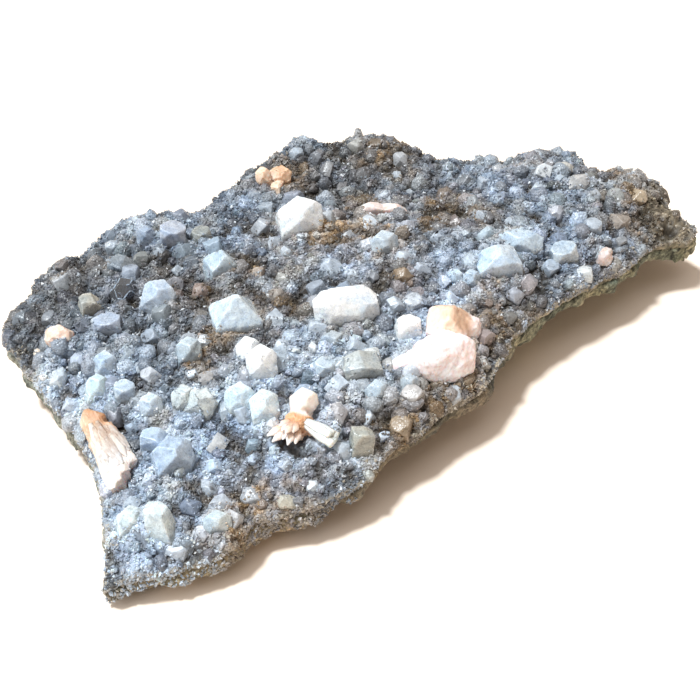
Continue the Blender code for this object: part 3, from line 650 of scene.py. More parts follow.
def slab(name, top, bottom, step, voxel, ragged):
    xs = np.arange(-103.0, 103.0, step)
    ys = np.arange(-60.0, 60.0, step)
    gx, gy = np.meshgrid(xs, ys, indexing="ij")
    centres = np.column_stack([(gx[:-1, :-1] + step / 2).ravel(), (gy[:-1, :-1] + step / 2).ravel()])
    keep = (edge_distance(centres, ragged) > 0.0).reshape(len(xs) - 1, len(ys) - 1)
    index = -np.ones(gx.shape, int)
    quads = []
    for i, j in np.argwhere(keep):
        quads.append(((i, j), (i + 1, j), (i + 1, j + 1), (i, j + 1)))
    used = sorted({c for q in quads for c in q})
    for n, c in enumerate(used):
        index[c] = n
    xy = np.array([(gx[c], gy[c]) for c in used])
    edges = {}
    faces = [[index[c] for c in q] for q in quads]
    for f in faces:
        for a, b in zip(f, f[1:] + f[:1]):
            edges[(a, b)] = True
    rim = [(a, b) for a, b in edges if (b, a) not in edges]
    rim_points = sorted({a for e in rim for a in e})
    for n in rim_points:
        p = xy[n]
        a, b = ragged, np.roll(ragged, -1, 0)
        s = b - a
        t = np.clip(((p - a) * s).sum(1) / (s * s).sum(1), 0, 1)
        q = a + t[:, None] * s
        xy[n] = q[np.argmin(((q - p) ** 2).sum(1))]
    count = len(xy)
    zt, zb = top(xy), bottom(xy)
    zb = np.minimum(zb, zt - 1.0)
    verts = np.vstack([np.column_stack([xy, zt]), np.column_stack([xy, zb])])
    tris = []
    for f in faces:
        tris += [(f[0], f[1], f[2]), (f[0], f[2], f[3])]
        tris += [(f[2] + count, f[1] + count, f[0] + count), (f[3] + count, f[2] + count, f[0] + count)]
    for a, b in rim:
        tris += [(b, a, a + count), (b, a + count, b + count)]
    me = mesh_of(name, verts, np.array(tris))
    ob = bpy.data.objects.new(name, me)
    bpy.context.scene.collection.objects.link(ob)
    mod = ob.modifiers.new("even", 'REMESH')
    mod.mode = 'VOXEL'
    mod.voxel_size = voxel * MM
    bpy.context.view_layer.update()
    v, t = arrays_of(ob)
    bpy.data.objects.remove(ob, do_unlink=True)
    return v, t


def thin_out(v, t, weight, ratio, name):
    """Fewer triangles where weight is 1, for faces that never show."""
    me = mesh_of(name, v, t)
    ob = bpy.data.objects.new(name, me)
    bpy.context.scene.collection.objects.link(ob)
    group = ob.vertex_groups.new(name="thin")
    group.add([int(i) for i in np.nonzero(weight > 0.5)[0]], 1.0, 'REPLACE')
    mod = ob.modifiers.new("thin", 'DECIMATE')
    mod.ratio = ratio
    mod.vertex_group = "thin"
    mod.vertex_group_factor = 10.0
    bpy.context.view_layer.update()
    v, t = arrays_of(ob)
    bpy.data.objects.remove(ob, do_unlink=True)
    return v, t


def lip_wall(xy):
    """1 along the front right edge, where the broken rock shows up to the top."""
    return np.clip((xy[:, 0] - 14.0) / 8.0, 0, 1) * np.clip((-28.0 - xy[:, 1]) / 3.0, 0, 1)


def build_crust():
    ragged = ragged_outline(0.5, 3.0, 2)
    v, t = slab("ground", top_height, parting_height, 1.5, 0.57, ragged)
    n = normals_of(v, t)
    hidden = (n[:, 2] < -0.35).astype(float)
    v, t = thin_out(v, t, hidden, 0.60, "ground")
    n = normals_of(v, t)
    up = np.clip(n[:, 2] * 1.3, 0, 1)
    side = 1.0 - np.abs(n[:, 2])
    rise = relief(v[:, :2])
    push = up * (rise + 0.16 * fbm(v / 0.8, 2, 22)) + side * (0.5 * fbm(v / 1.8, 3, 41))
    push = np.where(n[:, 2] < -0.3, 0.0, push)
    v = v + n * push[:, None]
    xy = v[:, :2]
    d = edge_distance(xy)
    tint = patch_tint(xy, rise - 0.1) * (0.72 + 0.35 * np.clip(fbm(v / 1.1, 2, 51), -1, 1))[:, None]
    depth = top_height(xy) - v[:, 2]
    west = np.clip((-78.0 - xy[:, 0]) / 2.0, 0, 1) * np.clip((xy[:, 1] + 43) / 3.0, 0, 1) * np.clip(side * 2.0, 0, 1) * np.clip(1.6 - d, 0, 1)
    strip = mix(np.tile(np.array([0.09, 0.115, 0.115]), (len(v), 1)), (0.20, 0.235, 0.235), np.clip(0.4 + fbm(v / 1.6, 3, 63), 0, 1))
    edge = np.clip(1.0 - np.abs(d) / 1.2, 0, 1) * np.clip(side * 1.6, 0, 1)
    tint = mix(tint, (0.50, 0.46, 0.38), edge * np.clip(0.6 + 0.8 * fbm(v / 2.0, 2, 61), 0, 1))
    west = west * np.clip((depth - 1.0) / 0.5, 0, 1)
    wall = lip_wall(xy) * np.clip(side * 2.0, 0, 1) * np.clip((depth - 0.9) / 0.5, 0, 1) * np.clip(1.8 - d, 0, 1)
    stone = mix(np.tile(np.array([0.20, 0.18, 0.115]), (len(v), 1)), (0.46, 0.385, 0.26), np.clip(0.4 + 1.1 * fbm(v / 2.2, 3, 64), 0, 1))
    stone = mix(stone, (0.035, 0.045, 0.035), np.clip(1.8 * fbm(v / 1.0, 2, 65) - 0.35, 0, 1))
    tint = tint * (1 - wall[:, None]) + stone * wall[:, None]
    tint = tint * (1 - west[:, None]) + strip * west[:, None]
    me = mesh_of("quartz_druse_ground", v + [SHIFT, 0, 0], t, tint, smooth=True)
    return add_piece("quartz_druse_ground", me, M_CRUST, ("quartz_druse_crust",)), v, t


def build_basalt():
    ragged = ragged_outline(0.7, 3.4, 6)
    v, t = slab("rock", lambda p: parting_height(p) + 0.4, under_height, 1.5, 0.85, ragged)
    n = normals_of(v, t)
    hidden = ((n[:, 2] > 0.5) & (edge_distance(v[:, :2]) > 1.5)).astype(float)
    v, t = thin_out(v, t, hidden, 0.62, "rock")
    n = normals_of(v, t)
    chips = 0.8 * fbm(v / 6.0, 3, 71) + 0.55 * np.abs(perlin(v / 2.4, 72)) + 0.25 * fbm(v / 0.9, 2, 73)
    cells = np.array([noise.voronoi(Vector(p))[0][0] for p in v / 4.2])
    push = chips - 0.8 * (0.45 - cells)
    stands = np.clip((v[:, 2] - 0.4) / 1.5, 0, 1)
    push = np.where(n[:, 2] > 0.5, 0.0, push) * stands
    push = np.clip(push, -1.6, 0.9)
    v = v + n * push[:, None]
    v[:, 2] = np.maximum(v[:, 2], 0.0)
    d = edge_distance(v[:, :2])
    tint = np.tile(np.array([1.0, 1.0, 1.0]), (len(v), 1))
    tint = mix(tint, (1.35, 1.2, 1.0), np.clip(fbm(v / 9.0, 2, 81), 0, 1))
    tint = mix(tint, (0.75, 0.85, 0.95), np.clip(-fbm(v / 9.0, 2, 81), 0, 1))
    left = np.clip((-80.0 - v[:, 0]) / 4.0, 0, 1) * np.clip((v[:, 1] + 42) / 6.0, 0, 1)
    tint = mix(tint, (1.5, 1.9, 2.3), left * 0.8)
    # front right lip wall lightened almost twofold: painted light on a wall that stands in shade; the grey-green
    # speckle is the rock's own
    front = lip_wall(v[:, :2] + [0.0, 2.0])
    tint = tint * (1 + 0.9 * front)[:, None] * (1.0 + front[:, None] * np.array([-0.12, 0.0, -0.04]))
    tint = mix(tint, (0.34, 0.40, 0.36), front * np.clip(2.6 * fbm(v / 1.1, 2, 82) - 0.10, 0, 1))
    tip = np.clip((-52.0 - v[:, 0]) / 6.0, 0, 1) * np.clip((-44.0 - v[:, 1]) / 3.0, 0, 1)
    tint = mix(tint, (2.2, 2.1, 1.95), tip * 0.9)
    tint = np.clip(tint, 0, 4)
    me = mesh_of("basalt_rock", v + [SHIFT, 0, 0], t, tint, smooth=True)
    add_piece("basalt_rock", me, M_BASALT, ("basalt_matrix",))
    return v, t


ground, ground_v, ground_t = build_crust()
rock_v, rock_t = build_basalt()


def tree_of(v, t):
    return BVHTree.FromPolygons(v.tolist(), t.tolist())


GROUND = tree_of(ground_v, ground_t)


def drop(xy, tree=None):
    """Height and normal of the ground under each point (mm, layout)."""
    z, n = np.zeros(len(xy)), np.zeros((len(xy), 3))
    down = Vector((0, 0, -1))
    tree = GROUND if tree is None else tree
    for i, (x, y) in enumerate(xy):
        hit, normal, _, _ = tree.ray_cast(Vector((x, y, 60.0)), down)
        if hit is None:
            z[i], n[i] = -99.0, (0, 0, 1)
        else:
            z[i], n[i] = hit.z, normal
    return z, n


# ---------------------------------------------------------------------------
# Small crystals: convex shapes cut from a cube, many of each in one mesh
# ---------------------------------------------------------------------------
CORNERS_TOP = [((sx, sy, 1), 2.25) for sx in (-1, 1) for sy in (-1, 1)]
CORNERS_TOP_DEEP = [((sx, sy, 1), 1.75) for sx in (-1, 1) for sy in (-1, 1)]
UPRIGHT_EDGES = [((sx, sy, 0), 1.62) for sx in (-1, 1) for sy in (-1, 1)]
TOP_EDGES = [((1, 0, 1), 1.7), ((-1, 0, 1), 1.62), ((0, 1, 1), 1.7), ((0, -1, 1), 1.6)]
SIX_SIDES = [((math.cos(a), math.sin(a), 0), 0.92) for a in (0.3, 1.35, 2.4, 3.44, 4.49, 5.54)]
SIX_POINT = [((math.cos(a), math.sin(a), 0.9), 0.86) for a in (0.3, 1.35, 2.4, 3.44, 4.49, 5.54)]
SHAPES = {
    "block": CORNERS_TOP,
    "stubby": CORNERS_TOP_DEEP,
    "nodule": CORNERS_TOP_DEEP + UPRIGHT_EDGES + TOP_EDGES,
    "pyramid": [((1, 0.15, 0.8), 0.92), ((-1, 0.1, 0.8), 0.9), ((0.1, 1, 0.8), 0.9), ((0, -1, 0.8), 0.95)],
    "slant": [((0.8, 0, 1), 1.1), ((-0.3, -1, 0.7), 1.6)],
    "tent": [((0.9, 0, 1), 1.15), ((-0.75, 0, 1), 1.05)],
    "quartz": SIX_SIDES + SIX_POINT,
}


def cut_shape(cuts, jitter, rng, bevel=0.0, segments=1):
    """Vertices and triangles of a cut cube of half size 1."""
    bm = bmesh.new()
    bmesh.ops.create_cube(bm, size=2.0)
    for direction, reach in cuts:
        d = np.array(direction, float) * (1 + jitter * rng.normal(size=3) * 0.5) + jitter * rng.normal(size=3) * 0.3
        normal = Vector(d).normalized()
        point = normal * (reach * (1 + jitter * rng.normal() * 0.25) / Vector(direction).length)
        cut = bmesh.ops.bisect_plane(bm, geom=bm.verts[:] + bm.edges[:] + bm.faces[:], dist=1e-5,
                                     plane_co=point, plane_no=normal, clear_outer=True)
        rim = [g for g in cut["geom_cut"] if isinstance(g, bmesh.types.BMEdge)]
        if rim:
            bmesh.ops.holes_fill(bm, edges=rim)
    bmesh.ops.remove_doubles(bm, verts=bm.verts, dist=0.02)
    if bevel:
        bmesh.ops.dissolve_limit(bm, angle_limit=0.02, verts=bm.verts[:], edges=bm.edges[:])
        bmesh.ops.bevel(bm, geom=bm.edges[:], offset=bevel, segments=segments, profile=0.6, affect='EDGES',
                        clamp_overlap=True)
    bmesh.ops.triangulate(bm, faces=bm.faces[:])
    bmesh.ops.recalc_face_normals(bm, faces=bm.faces)
    v = np.array([tuple(x.co) for x in bm.verts])
    for k, x in enumerate(bm.verts):
        x.index = k
    t = np.array([[x.index for x in f.verts] for f in bm.faces])
    bm.free()
    return v, t


def ball_shape(subdivisions, rng, amount):
    bm = bmesh.new()
    bmesh.ops.create_icosphere(bm, subdivisions=subdivisions, radius=1.0)
    v = np.array([tuple(x.co) for x in bm.verts])
    for k, x in enumerate(bm.verts):
        x.index = k
    t = np.array([[x.index for x in f.verts] for f in bm.faces])
    bm.free()
    v = v * (1.0 + amount * perlin(v * 1.3 + rng.normal(size=3) * 20, 3))[:, None]
    v = v * (1.0 + 0.12 * rng.normal(size=3))
    return v, t


def frames(normals, tilt, rng):
    """Rotation matrices that stand along the normals, tilted and spun at random."""
    w = normals + tilt * rng.normal(size=normals.shape)
    w /= np.linalg.norm(w, axis=1)[:, None]
    r = rng.normal(size=normals.shape)
    u = np.cross(w, r)
    u /= np.linalg.norm(u, axis=1)[:, None]
    return np.stack([u, np.cross(w, u), w], axis=2)


def scatter(shapes, which, at, turn, scale, tints):
    """One array of vertices, triangles and tints for many copies of some shapes."""
    vs, ts, cs, base = [], [], [], 0
    for k, (v, t) in enumerate(shapes):
        mine = np.nonzero(which == k)[0]
        if not len(mine):
            continue
        pts = np.einsum("nij,nmj->nmi", turn[mine], v[None] * scale[mine][:, None, :]) + at[mine][:, None, :]
        vs.append(pts.reshape(-1, 3))
        ts.append((t[None] + (np.arange(len(mine)) * len(v))[:, None, None] + base).reshape(-1, 3))
        cs.append(np.repeat(tints[mine], len(v), axis=0))
        base += len(mine) * len(v)
    return np.vstack(vs), np.vstack(ts), np.vstack(cs)


def free_of_big(xy, share):
    gap = np.hypot(xy[:, None, 0] - BIG[None, :, 0], xy[:, None, 1] - BIG[None, :, 1])
    return (gap > BIG[None, :, 2] * share).all(1)


def throw(count, radius_of, spacing, rng, share, margin):
    """Points that keep their distance, largest first."""
    xy = np.column_stack([rng.uniform(-101, 101, count), rng.uniform(-58, 58, count)])
    xy = xy[edge_distance(xy) > margin]
    xy = xy[free_of_big(xy, share)]
    xy = xy[rng.random(len(xy)) > zone(xy, TAIL) * 1.25 - 0.2]
    r = radius_of(xy, rng)
    order = np.argsort(-r)
    xy, r = xy[order], r[order]
    cell = 2.5
    grid, kept = {}, []
    reach = 3
    for i in range(len(xy)):
        if r[i] <= 0:
            continue
        cx, cy = int(xy[i, 0] // cell), int(xy[i, 1] // cell)
        ok = True
        for gx in range(cx - reach, cx + reach + 1):
            for gy in range(cy - reach, cy + reach + 1):
                for j in grid.get((gx, gy), ()):
                    if (xy[i, 0] - xy[j, 0]) ** 2 + (xy[i, 1] - xy[j, 1]) ** 2 < (spacing * (r[i] + r[j])) ** 2:
                        ok = False
                        break
                if not ok:
                    break
            if not ok:
                break
        if ok:
            grid.setdefault((cx, cy), []).append(i)
            kept.append(i)
    return xy[kept], r[kept]


def split_pieces(prefix, v, t, tint, smooth, material, limit=180000):
    """Pieces of fewer than limit triangles, cut between copies."""
    start, k = 0, 0
    while start < len(t):
        stop = min(start + limit, len(t))
        if stop < len(t):
            # back off to where no triangle after shares a vertex with one before
            low_after = np.minimum.accumulate(t[:, 0:3].min(1)[::-1])[::-1]
            high_before = np.maximum.accumulate(t[:, 0:3].max(1))
            while stop > start and low_after[stop] <= high_before[stop - 1]:
                stop -= 1
        part = t[start:stop]
        lo, hi = part.min(), part.max() + 1
        me = mesh_of("%s_%d" % (prefix, k), v[lo:hi] + [SHIFT, 0, 0], part - lo, tint[lo:hi], smooth=smooth)
        add_piece("%s_%d" % (prefix, k), me, material)
        start, k = stop, k + 1


def grain_tints(xy, rng, spread, high=0.0):
    n = len(xy)
    # high raises the height the tint is read at, so raised grains come out lighter: painted light
    tint = patch_tint(xy, relief(xy) + high)
    tint = tint * (1.0 + spread * rng.normal(size=n))[:, None]
    tint = tint * (1.0 + 0.018 * rng.normal(size=(n, 3)))
    return np.clip(tint, 0.015, 0.92)


def build_nodules():
    rng = np.random.default_rng(202)

    def radius_of(xy, rng):
        coarse, fine = zone(xy, COARSE), zone(xy, FINE)
        big = rng.random(len(xy)) < 0.05 + 0.30 * coarse - 0.05 * fine
        r = np.where(big, rng.uniform(1.1, 2.2, len(xy)), 0.42 + rng.gamma(2.0, 0.15, len(xy)))
        r = r * (1.0 - 0.2 * fine)
        return np.clip(r, 0.42, 2.2)

    xy, r = throw(7500, radius_of, 0.98, rng, 0.85, 0.5)
    z, nor = drop(xy)
    ok = z > -50
    xy, z, nor, r = xy[ok], z[ok], nor[ok], r[ok]
    n = len(xy)
    balls = [ball_shape(2, rng, 0.22) for _ in range(8)]
    worn = [cut_shape(SHAPES["nodule"], 0.35, rng, 0.15, 1) for _ in range(6)] \
        + [cut_shape(SHAPES["stubby"], 0.35, rng, 0.13, 1) for _ in range(4)]
    rocks = [cut_shape(SHAPES["nodule"], 0.35, rng) for _ in range(6)]
    blocks = [cut_shape(SHAPES["stubby"], 0.35, rng) for _ in range(6)] + [cut_shape(SHAPES["block"], 0.3, rng) for _ in range(4)]
    points = [cut_shape(SHAPES["quartz"], 0.15, rng) for _ in range(8)]
    turn = frames(nor, 0.45, rng)
    tint = grain_tints(xy, rng, 0.16, 0.30 * r)
    smoky = (rng.random(n) < 0.25)
    tint[smoky] = mix(tint[smoky], (0.22, 0.22, 0.235), np.full(smoky.sum(), 0.5))
    roll = rng.random(n)
    big = r > 1.05
    at = np.column_stack([xy, z + r * np.where(big, -0.18, 0.08)])
    scale = r[:, None] * (1 + 0.14 * rng.normal(size=(n, 3)))
    smooth = balls + worn
    pick = np.where(roll < 0.35, rng.integers(0, 8, n), rng.integers(8, 18, n))
    v1, t1, c = scatter(smooth, pick[big], at[big], turn[big], scale[big] * 1.08, tint[big])
    split_pieces("quartz_nodules_round", v1, t1, c, True, M_NODULE)
    small = ~big
    sharp = rocks + blocks + points
    pick = np.where(roll < 0.65, rng.integers(0, 16, n), rng.integers(16, 24, n))
    v2, t2, c = scatter(sharp, pick[small], at[small], turn[small], scale[small] * 0.95, tint[small])
    split_pieces("quartz_nodules", v2, t2, c, False, M_NODULE)
    return v1, t1, v2, t2


# small crystals that stand out one by one: x, y, width (mm, layout), shape, colour
SINGLES = [
    (-62.7, -2.8, 4.4, "block", (0.60, 0.64, 0.70)), (-27.2, -22.1, 3.2, "stubby", (0.72, 0.76, 0.80)),
    (-26.7, -50.0, 2.9, "block", (0.66, 0.76, 0.92)), (-21.9, -50.6, 4.6, "block", (0.34, 0.26, 0.18)),
    (-48.4, -50.6, 3.7, "nodule", (0.60, 0.64, 0.68)), (-55.6, -50.4, 3.4, "nodule", (0.62, 0.60, 0.52)),
    (50.8, -38.3, 4.6, "block", (0.74, 0.77, 0.78)), (74.1, -12.4, 4.3, "nodule", (0.50, 0.50, 0.50)),
    (70.3, -0.5, 4.1, "slant", (0.74, 0.78, 0.82)), (72.7, -30.2, 5.3, "nodule", (0.38, 0.33, 0.29)),
    (84.4, -25.3, 4.3, "stubby", (0.46, 0.37, 0.27)), (-60.5, -29.1, 4.3, "tent", (0.62, 0.64, 0.66)),
    (-32.0, -15.8, 3.5, "stubby", (0.62, 0.68, 0.76)), (-78.9, 28.1, 2.0, "nodule", (0.86, 0.74, 0.62)),
    (78.0, -3.0, 4.6, "nodule", (0.55, 0.53, 0.49)), (63.0, 10.0, 4.4, "nodule", (0.50, 0.52, 0.55)),
    (-20.0, -42.0, 3.6, "stubby", (0.52, 0.55, 0.58)), (-14.0, -36.0, 4.2, "nodule", (0.46, 0.46, 0.46)),
    (-52.0, -28.0, 3.8, "slant", (0.52, 0.60, 0.70)), (-45.5, -26.5, 3.2, "stubby", (0.50, 0.58, 0.70)),
    (3.0, -24.0, 3.6, "block", (0.56, 0.60, 0.66)), (24.0, -22.0, 4.6, "nodule", (0.52, 0.60, 0.68)),
]


def build_small_crystals():
    rng = np.random.default_rng(303)

    def radius_of(xy, rng):
        pale, coarse, fine = zone(xy, PALE), zone(xy, COARSE), zone(xy, FINE)
        chance = 0.14 + 0.55 * pale + 0.28 * coarse - 0.2 * fine
        r = rng.uniform(1.2, 2.3, len(xy))
        return np.where(rng.random(len(xy)) < chance, r, 0.0)

    kinds = ("stubby", "stubby", "stubby", "block", "block", "nodule", "nodule", "pyramid", "slant", "tent")
    shapes = [cut_shape(SHAPES[k], 0.22, rng, 0.13, 2) for k in kinds]
    xy, r = throw(2200, radius_of, 1.15, rng, 1.0, 2.0)
    pick = rng.integers(0, len(shapes), len(xy))
    single = np.array([(x, y) for x, y, _, _, _ in SINGLES])
    single_r = np.array([w / 2 for _, _, w, _, _ in SINGLES])
    clear = (np.hypot(*(xy[:, None] - single[None]).transpose(2, 0, 1)) > (r[:, None] + single_r[None]) * 1.1).all(1)
    xy, r, pick = xy[clear], r[clear], pick[clear]
    tint = grain_tints(xy, rng, 0.12, 1.0)
    pale = rng.random(len(xy)) < 0.40 + 0.35 * zone(xy, PALE)
    tint[pale] = mix(tint[pale], (0.58, 0.65, 0.73), rng.uniform(0.3, 0.9, pale.sum()))
    xy, r = np.vstack([xy, single]), np.concatenate([r, single_r])
    pick = np.concatenate([pick, [kinds.index(k) for _, _, _, k, _ in SINGLES]])
    tint = np.vstack([tint, [c for _, _, _, _, c in SINGLES]])
    z, nor = drop(xy)
    ok = z > -50
    xy, z, nor, r, pick, tint = xy[ok], z[ok], nor[ok], r[ok], pick[ok], tint[ok]
    v, t, c = scatter(shapes, pick, np.column_stack([xy, z - r * 0.02]),
                      frames(nor, 0.35, rng), r[:, None] * (1 + 0.12 * rng.normal(size=(len(xy), 3))), tint)
    v = v + normals_of(v, t) * (0.09 * fbm(v / 0.9, 2, 66))[:, None]
    split_pieces("small_crystals", v, t, c, True, M_SMALL)
    return v, t


def grain_shapes(rng):
    shapes = []
    for k in range(12):
        m = 3 if k < 7 else 4
        a = (np.arange(m) + 0.2 * rng.normal(size=m)) * math.tau / m
        ring = [(math.cos(q) * (1 + 0.15 * rng.normal()), math.sin(q) * (1 + 0.15 * rng.normal()), -0.2 + 0.2 * rng.normal()) for q in a]
        v = np.array(ring + [(0.12 * rng.normal(), 0.12 * rng.normal(), 1.3), (0, 0, -0.9)])
        t = np.array([(i, (i + 1) % m, m) for i in range(m)] + [((i + 1) % m, i, m + 1) for i in range(m)])
        shapes.append((v, t))
    return shapes


def build_sugar(layers, proud, bare):
    """Fine quartz on the ground and partly over the small crystals, and on the
    feet of the large ones."""
    rng = np.random.default_rng(101)
    n = 90000
    xy = np.column_stack([rng.uniform(-101, 101, n), rng.uniform(-58, 58, n)])
    xy = xy[edge_distance(xy) > 0.1]
    xy = xy[rng.random(len(xy)) > zone(xy, TAIL) * 1.2 - 0.25]

    def merged(parts):
        vs, ts, base = [], [], 0
        for v, t in parts:
            vs.append(v)
            ts.append(t + base)
            base += len(v)
        return tree_of(np.vstack(vs), np.vstack(ts))

    z, nor = drop(xy, merged(layers))
    z0, _ = drop(xy)
    zp, norp = drop(xy, merged(proud))
    on_proud = zp > z
    zb, _ = drop(xy, merged(bare))
    on_bare = (zb > z) & (zb - z0 > 0.4)
    foot = on_proud & ~on_bare & (zp - z0 < 2.6) & (rng.random(len(xy)) < 0.85 - 0.32 * (zp - z0))
    over = z - z0
    ok = (z > -50) & ~on_proud & ~on_bare & ((over < 0.5) | (rng.random(len(xy)) < 0.42) & (nor[:, 2] < 0.95) & (over < 1.8))
    z, nor = np.where(on_proud, zp, z), np.where(on_proud[:, None], norp, nor)
    over = z - z0
    ok = (ok | foot) & (z > -50)
    xy, z, nor, over = xy[ok][:37000], z[ok][:37000], nor[ok][:37000], over[ok][:37000]
    size = rng.uniform(0.28, 0.60, len(xy)) * (1.0 + 0.2 * zone(xy, COARSE)) * np.where(over > 0.3, 0.75, 1.0)
    turn = frames(nor, 0.60, rng)
    at = np.column_stack([xy, z + 0.10 * size])
    scale = size[:, None] * (1 + 0.15 * rng.normal(size=(len(xy), 3)))
    tint = grain_tints(xy, rng, 0.14, np.minimum(over, 1.5) * 0.5)
    # painted highlight: a few grains tinted near white to stand for glints
    painted_glint = rng.random(len(xy)) < 0.03 * (1.0 - zone(xy, TAIL)) * (1.0 - zone(xy, BROWN))
    tint[painted_glint] = mix(tint[painted_glint], (0.84, 0.89, 0.95), np.full(painted_glint.sum(), 0.8))
    shapes = grain_shapes(rng)
    v, t, c = scatter(shapes, rng.integers(0, len(shapes), len(xy)), at, turn, scale, tint)
    split_pieces("quartz_sugar", v, t, c, False, M_SUGAR)


def build_rim():
    """Crumbs on the broken side of the druse layer."""
    rng = np.random.default_rng(505)
    a, b, c = (np.vstack([ground_v[ground_t[:, k]], rock_v[rock_t[:, k]]]) for k in range(3))
    on_rock = np.arange(len(a)) >= len(ground_t)
    tip = on_rock & (a[:, 0] < -40.0) & (a[:, 1] < -40.0) & (a[:, 2] > 1.2)
    cross = np.cross(b - a, c - a)
    area = np.linalg.norm(cross, axis=1)
    nz = cross[:, 2] / np.maximum(area, 1e-9)
    weight = area * ((nz < 0.62) & (nz > -0.25)) * (edge_distance((a[:, :2] + b[:, :2]) / 2) < 3.0)
    weight = weight * np.where(on_rock, tip * 1.0, 1.0)
    pick = rng.choice(len(a), 6800, p=weight / weight.sum())
    u, w = rng.random(len(pick)), rng.random(len(pick))
    flip = u + w > 1
    u[flip], w[flip] = 1 - u[flip], 1 - w[flip]
    at = a[pick] + (b - a)[pick] * u[:, None] + (c - a)[pick] * w[:, None]
    nor = cross[pick] / area[pick][:, None]
    depth = top_height(at[:, :2]) - at[:, 2]
    bare = (at[:, 0] < -77.0) & (at[:, 1] > -41.0) & (depth > 1.1)
    bare |= (lip_wall(at[:, :2]) > rng.random(len(at)) * 0.9) & (depth > 1.0)
    pick, at, nor = pick[~bare], at[~bare], nor[~bare]
    size = rng.uniform(0.25, 0.62, len(pick))
    tint = patch_tint(at[:, :2], 0.4 + 0.3 * rng.normal(size=len(pick)))
    tan = rng.random(len(pick)) < 0.45
    tint[tan] = mix(tint[tan], (0.42, 0.36, 0.27), rng.uniform(0.3, 0.9, tan.sum()))
    cream = (np.abs(at[:, 0] - 2.0) < 16.0) & (at[:, 1] < -38.0) & (rng.random(len(at)) < 0.45)
    tint[cream] = mix(tint[cream], (0.72, 0.66, 0.54), rng.uniform(0.4, 1.0, cream.sum()))
    shapes = grain_shapes(rng)
    v, t, col = scatter(shapes, rng.integers(0, len(shapes), len(pick)), at, frames(nor, 0.8, rng),
                        size[:, None] * (1 + 0.2 * rng.normal(size=(len(pick), 3))), np.clip(tint, 0.01, 0.9))
    split_pieces("quartz_rim", v, t, col, False, M_SUGAR)


nv1, nt1, nv2, nt2 = build_nodules()
sv, st = build_small_crystals()

# ---------------------------------------------------------------------------
# The large crystals and the stilbite: each node's own solid, with its edges
# rounded and its faces worked
# ---------------------------------------------------------------------------
def refined(node_name, bevel, fine):
    """The node's mesh with rounded edges, cut to points no more than fine apart (mm)."""
    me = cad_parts[node_name].data
    bm = bmesh.new()
    bm.from_mesh(me)
    bmesh.ops.remove_doubles(bm, verts=bm.verts, dist=0.00002)
    bmesh.ops.dissolve_limit(bm, angle_limit=math.radians(1.0), verts=bm.verts[:], edges=bm.edges[:])
    sharp = [e for e in bm.edges if len(e.link_faces) == 2 and e.calc_face_angle(0.0) > math.radians(12)]
    bmesh.ops.bevel(bm, geom=sharp, offset=bevel * MM, segments=2, profile=0.55, affect='EDGES', clamp_overlap=True)
    bmesh.ops.triangulate(bm, faces=bm.faces[:])
    for _ in range(6):
        long = [e for e in bm.edges if e.calc_length() > fine * MM]
        if not long:
            break
        bmesh.ops.subdivide_edges(bm, edges=long, cuts=1)
        bmesh.ops.triangulate(bm, faces=bm.faces[:])
    bmesh.ops.recalc_face_normals(bm, faces=bm.faces)
    v = np.array([tuple(x.co) for x in bm.verts]) / MM
    for k, x in enumerate(bm.verts):
        x.index = k
    t = np.array([[x.index for x in f.verts] for f in bm.faces])
    bm.free()
    return v, t


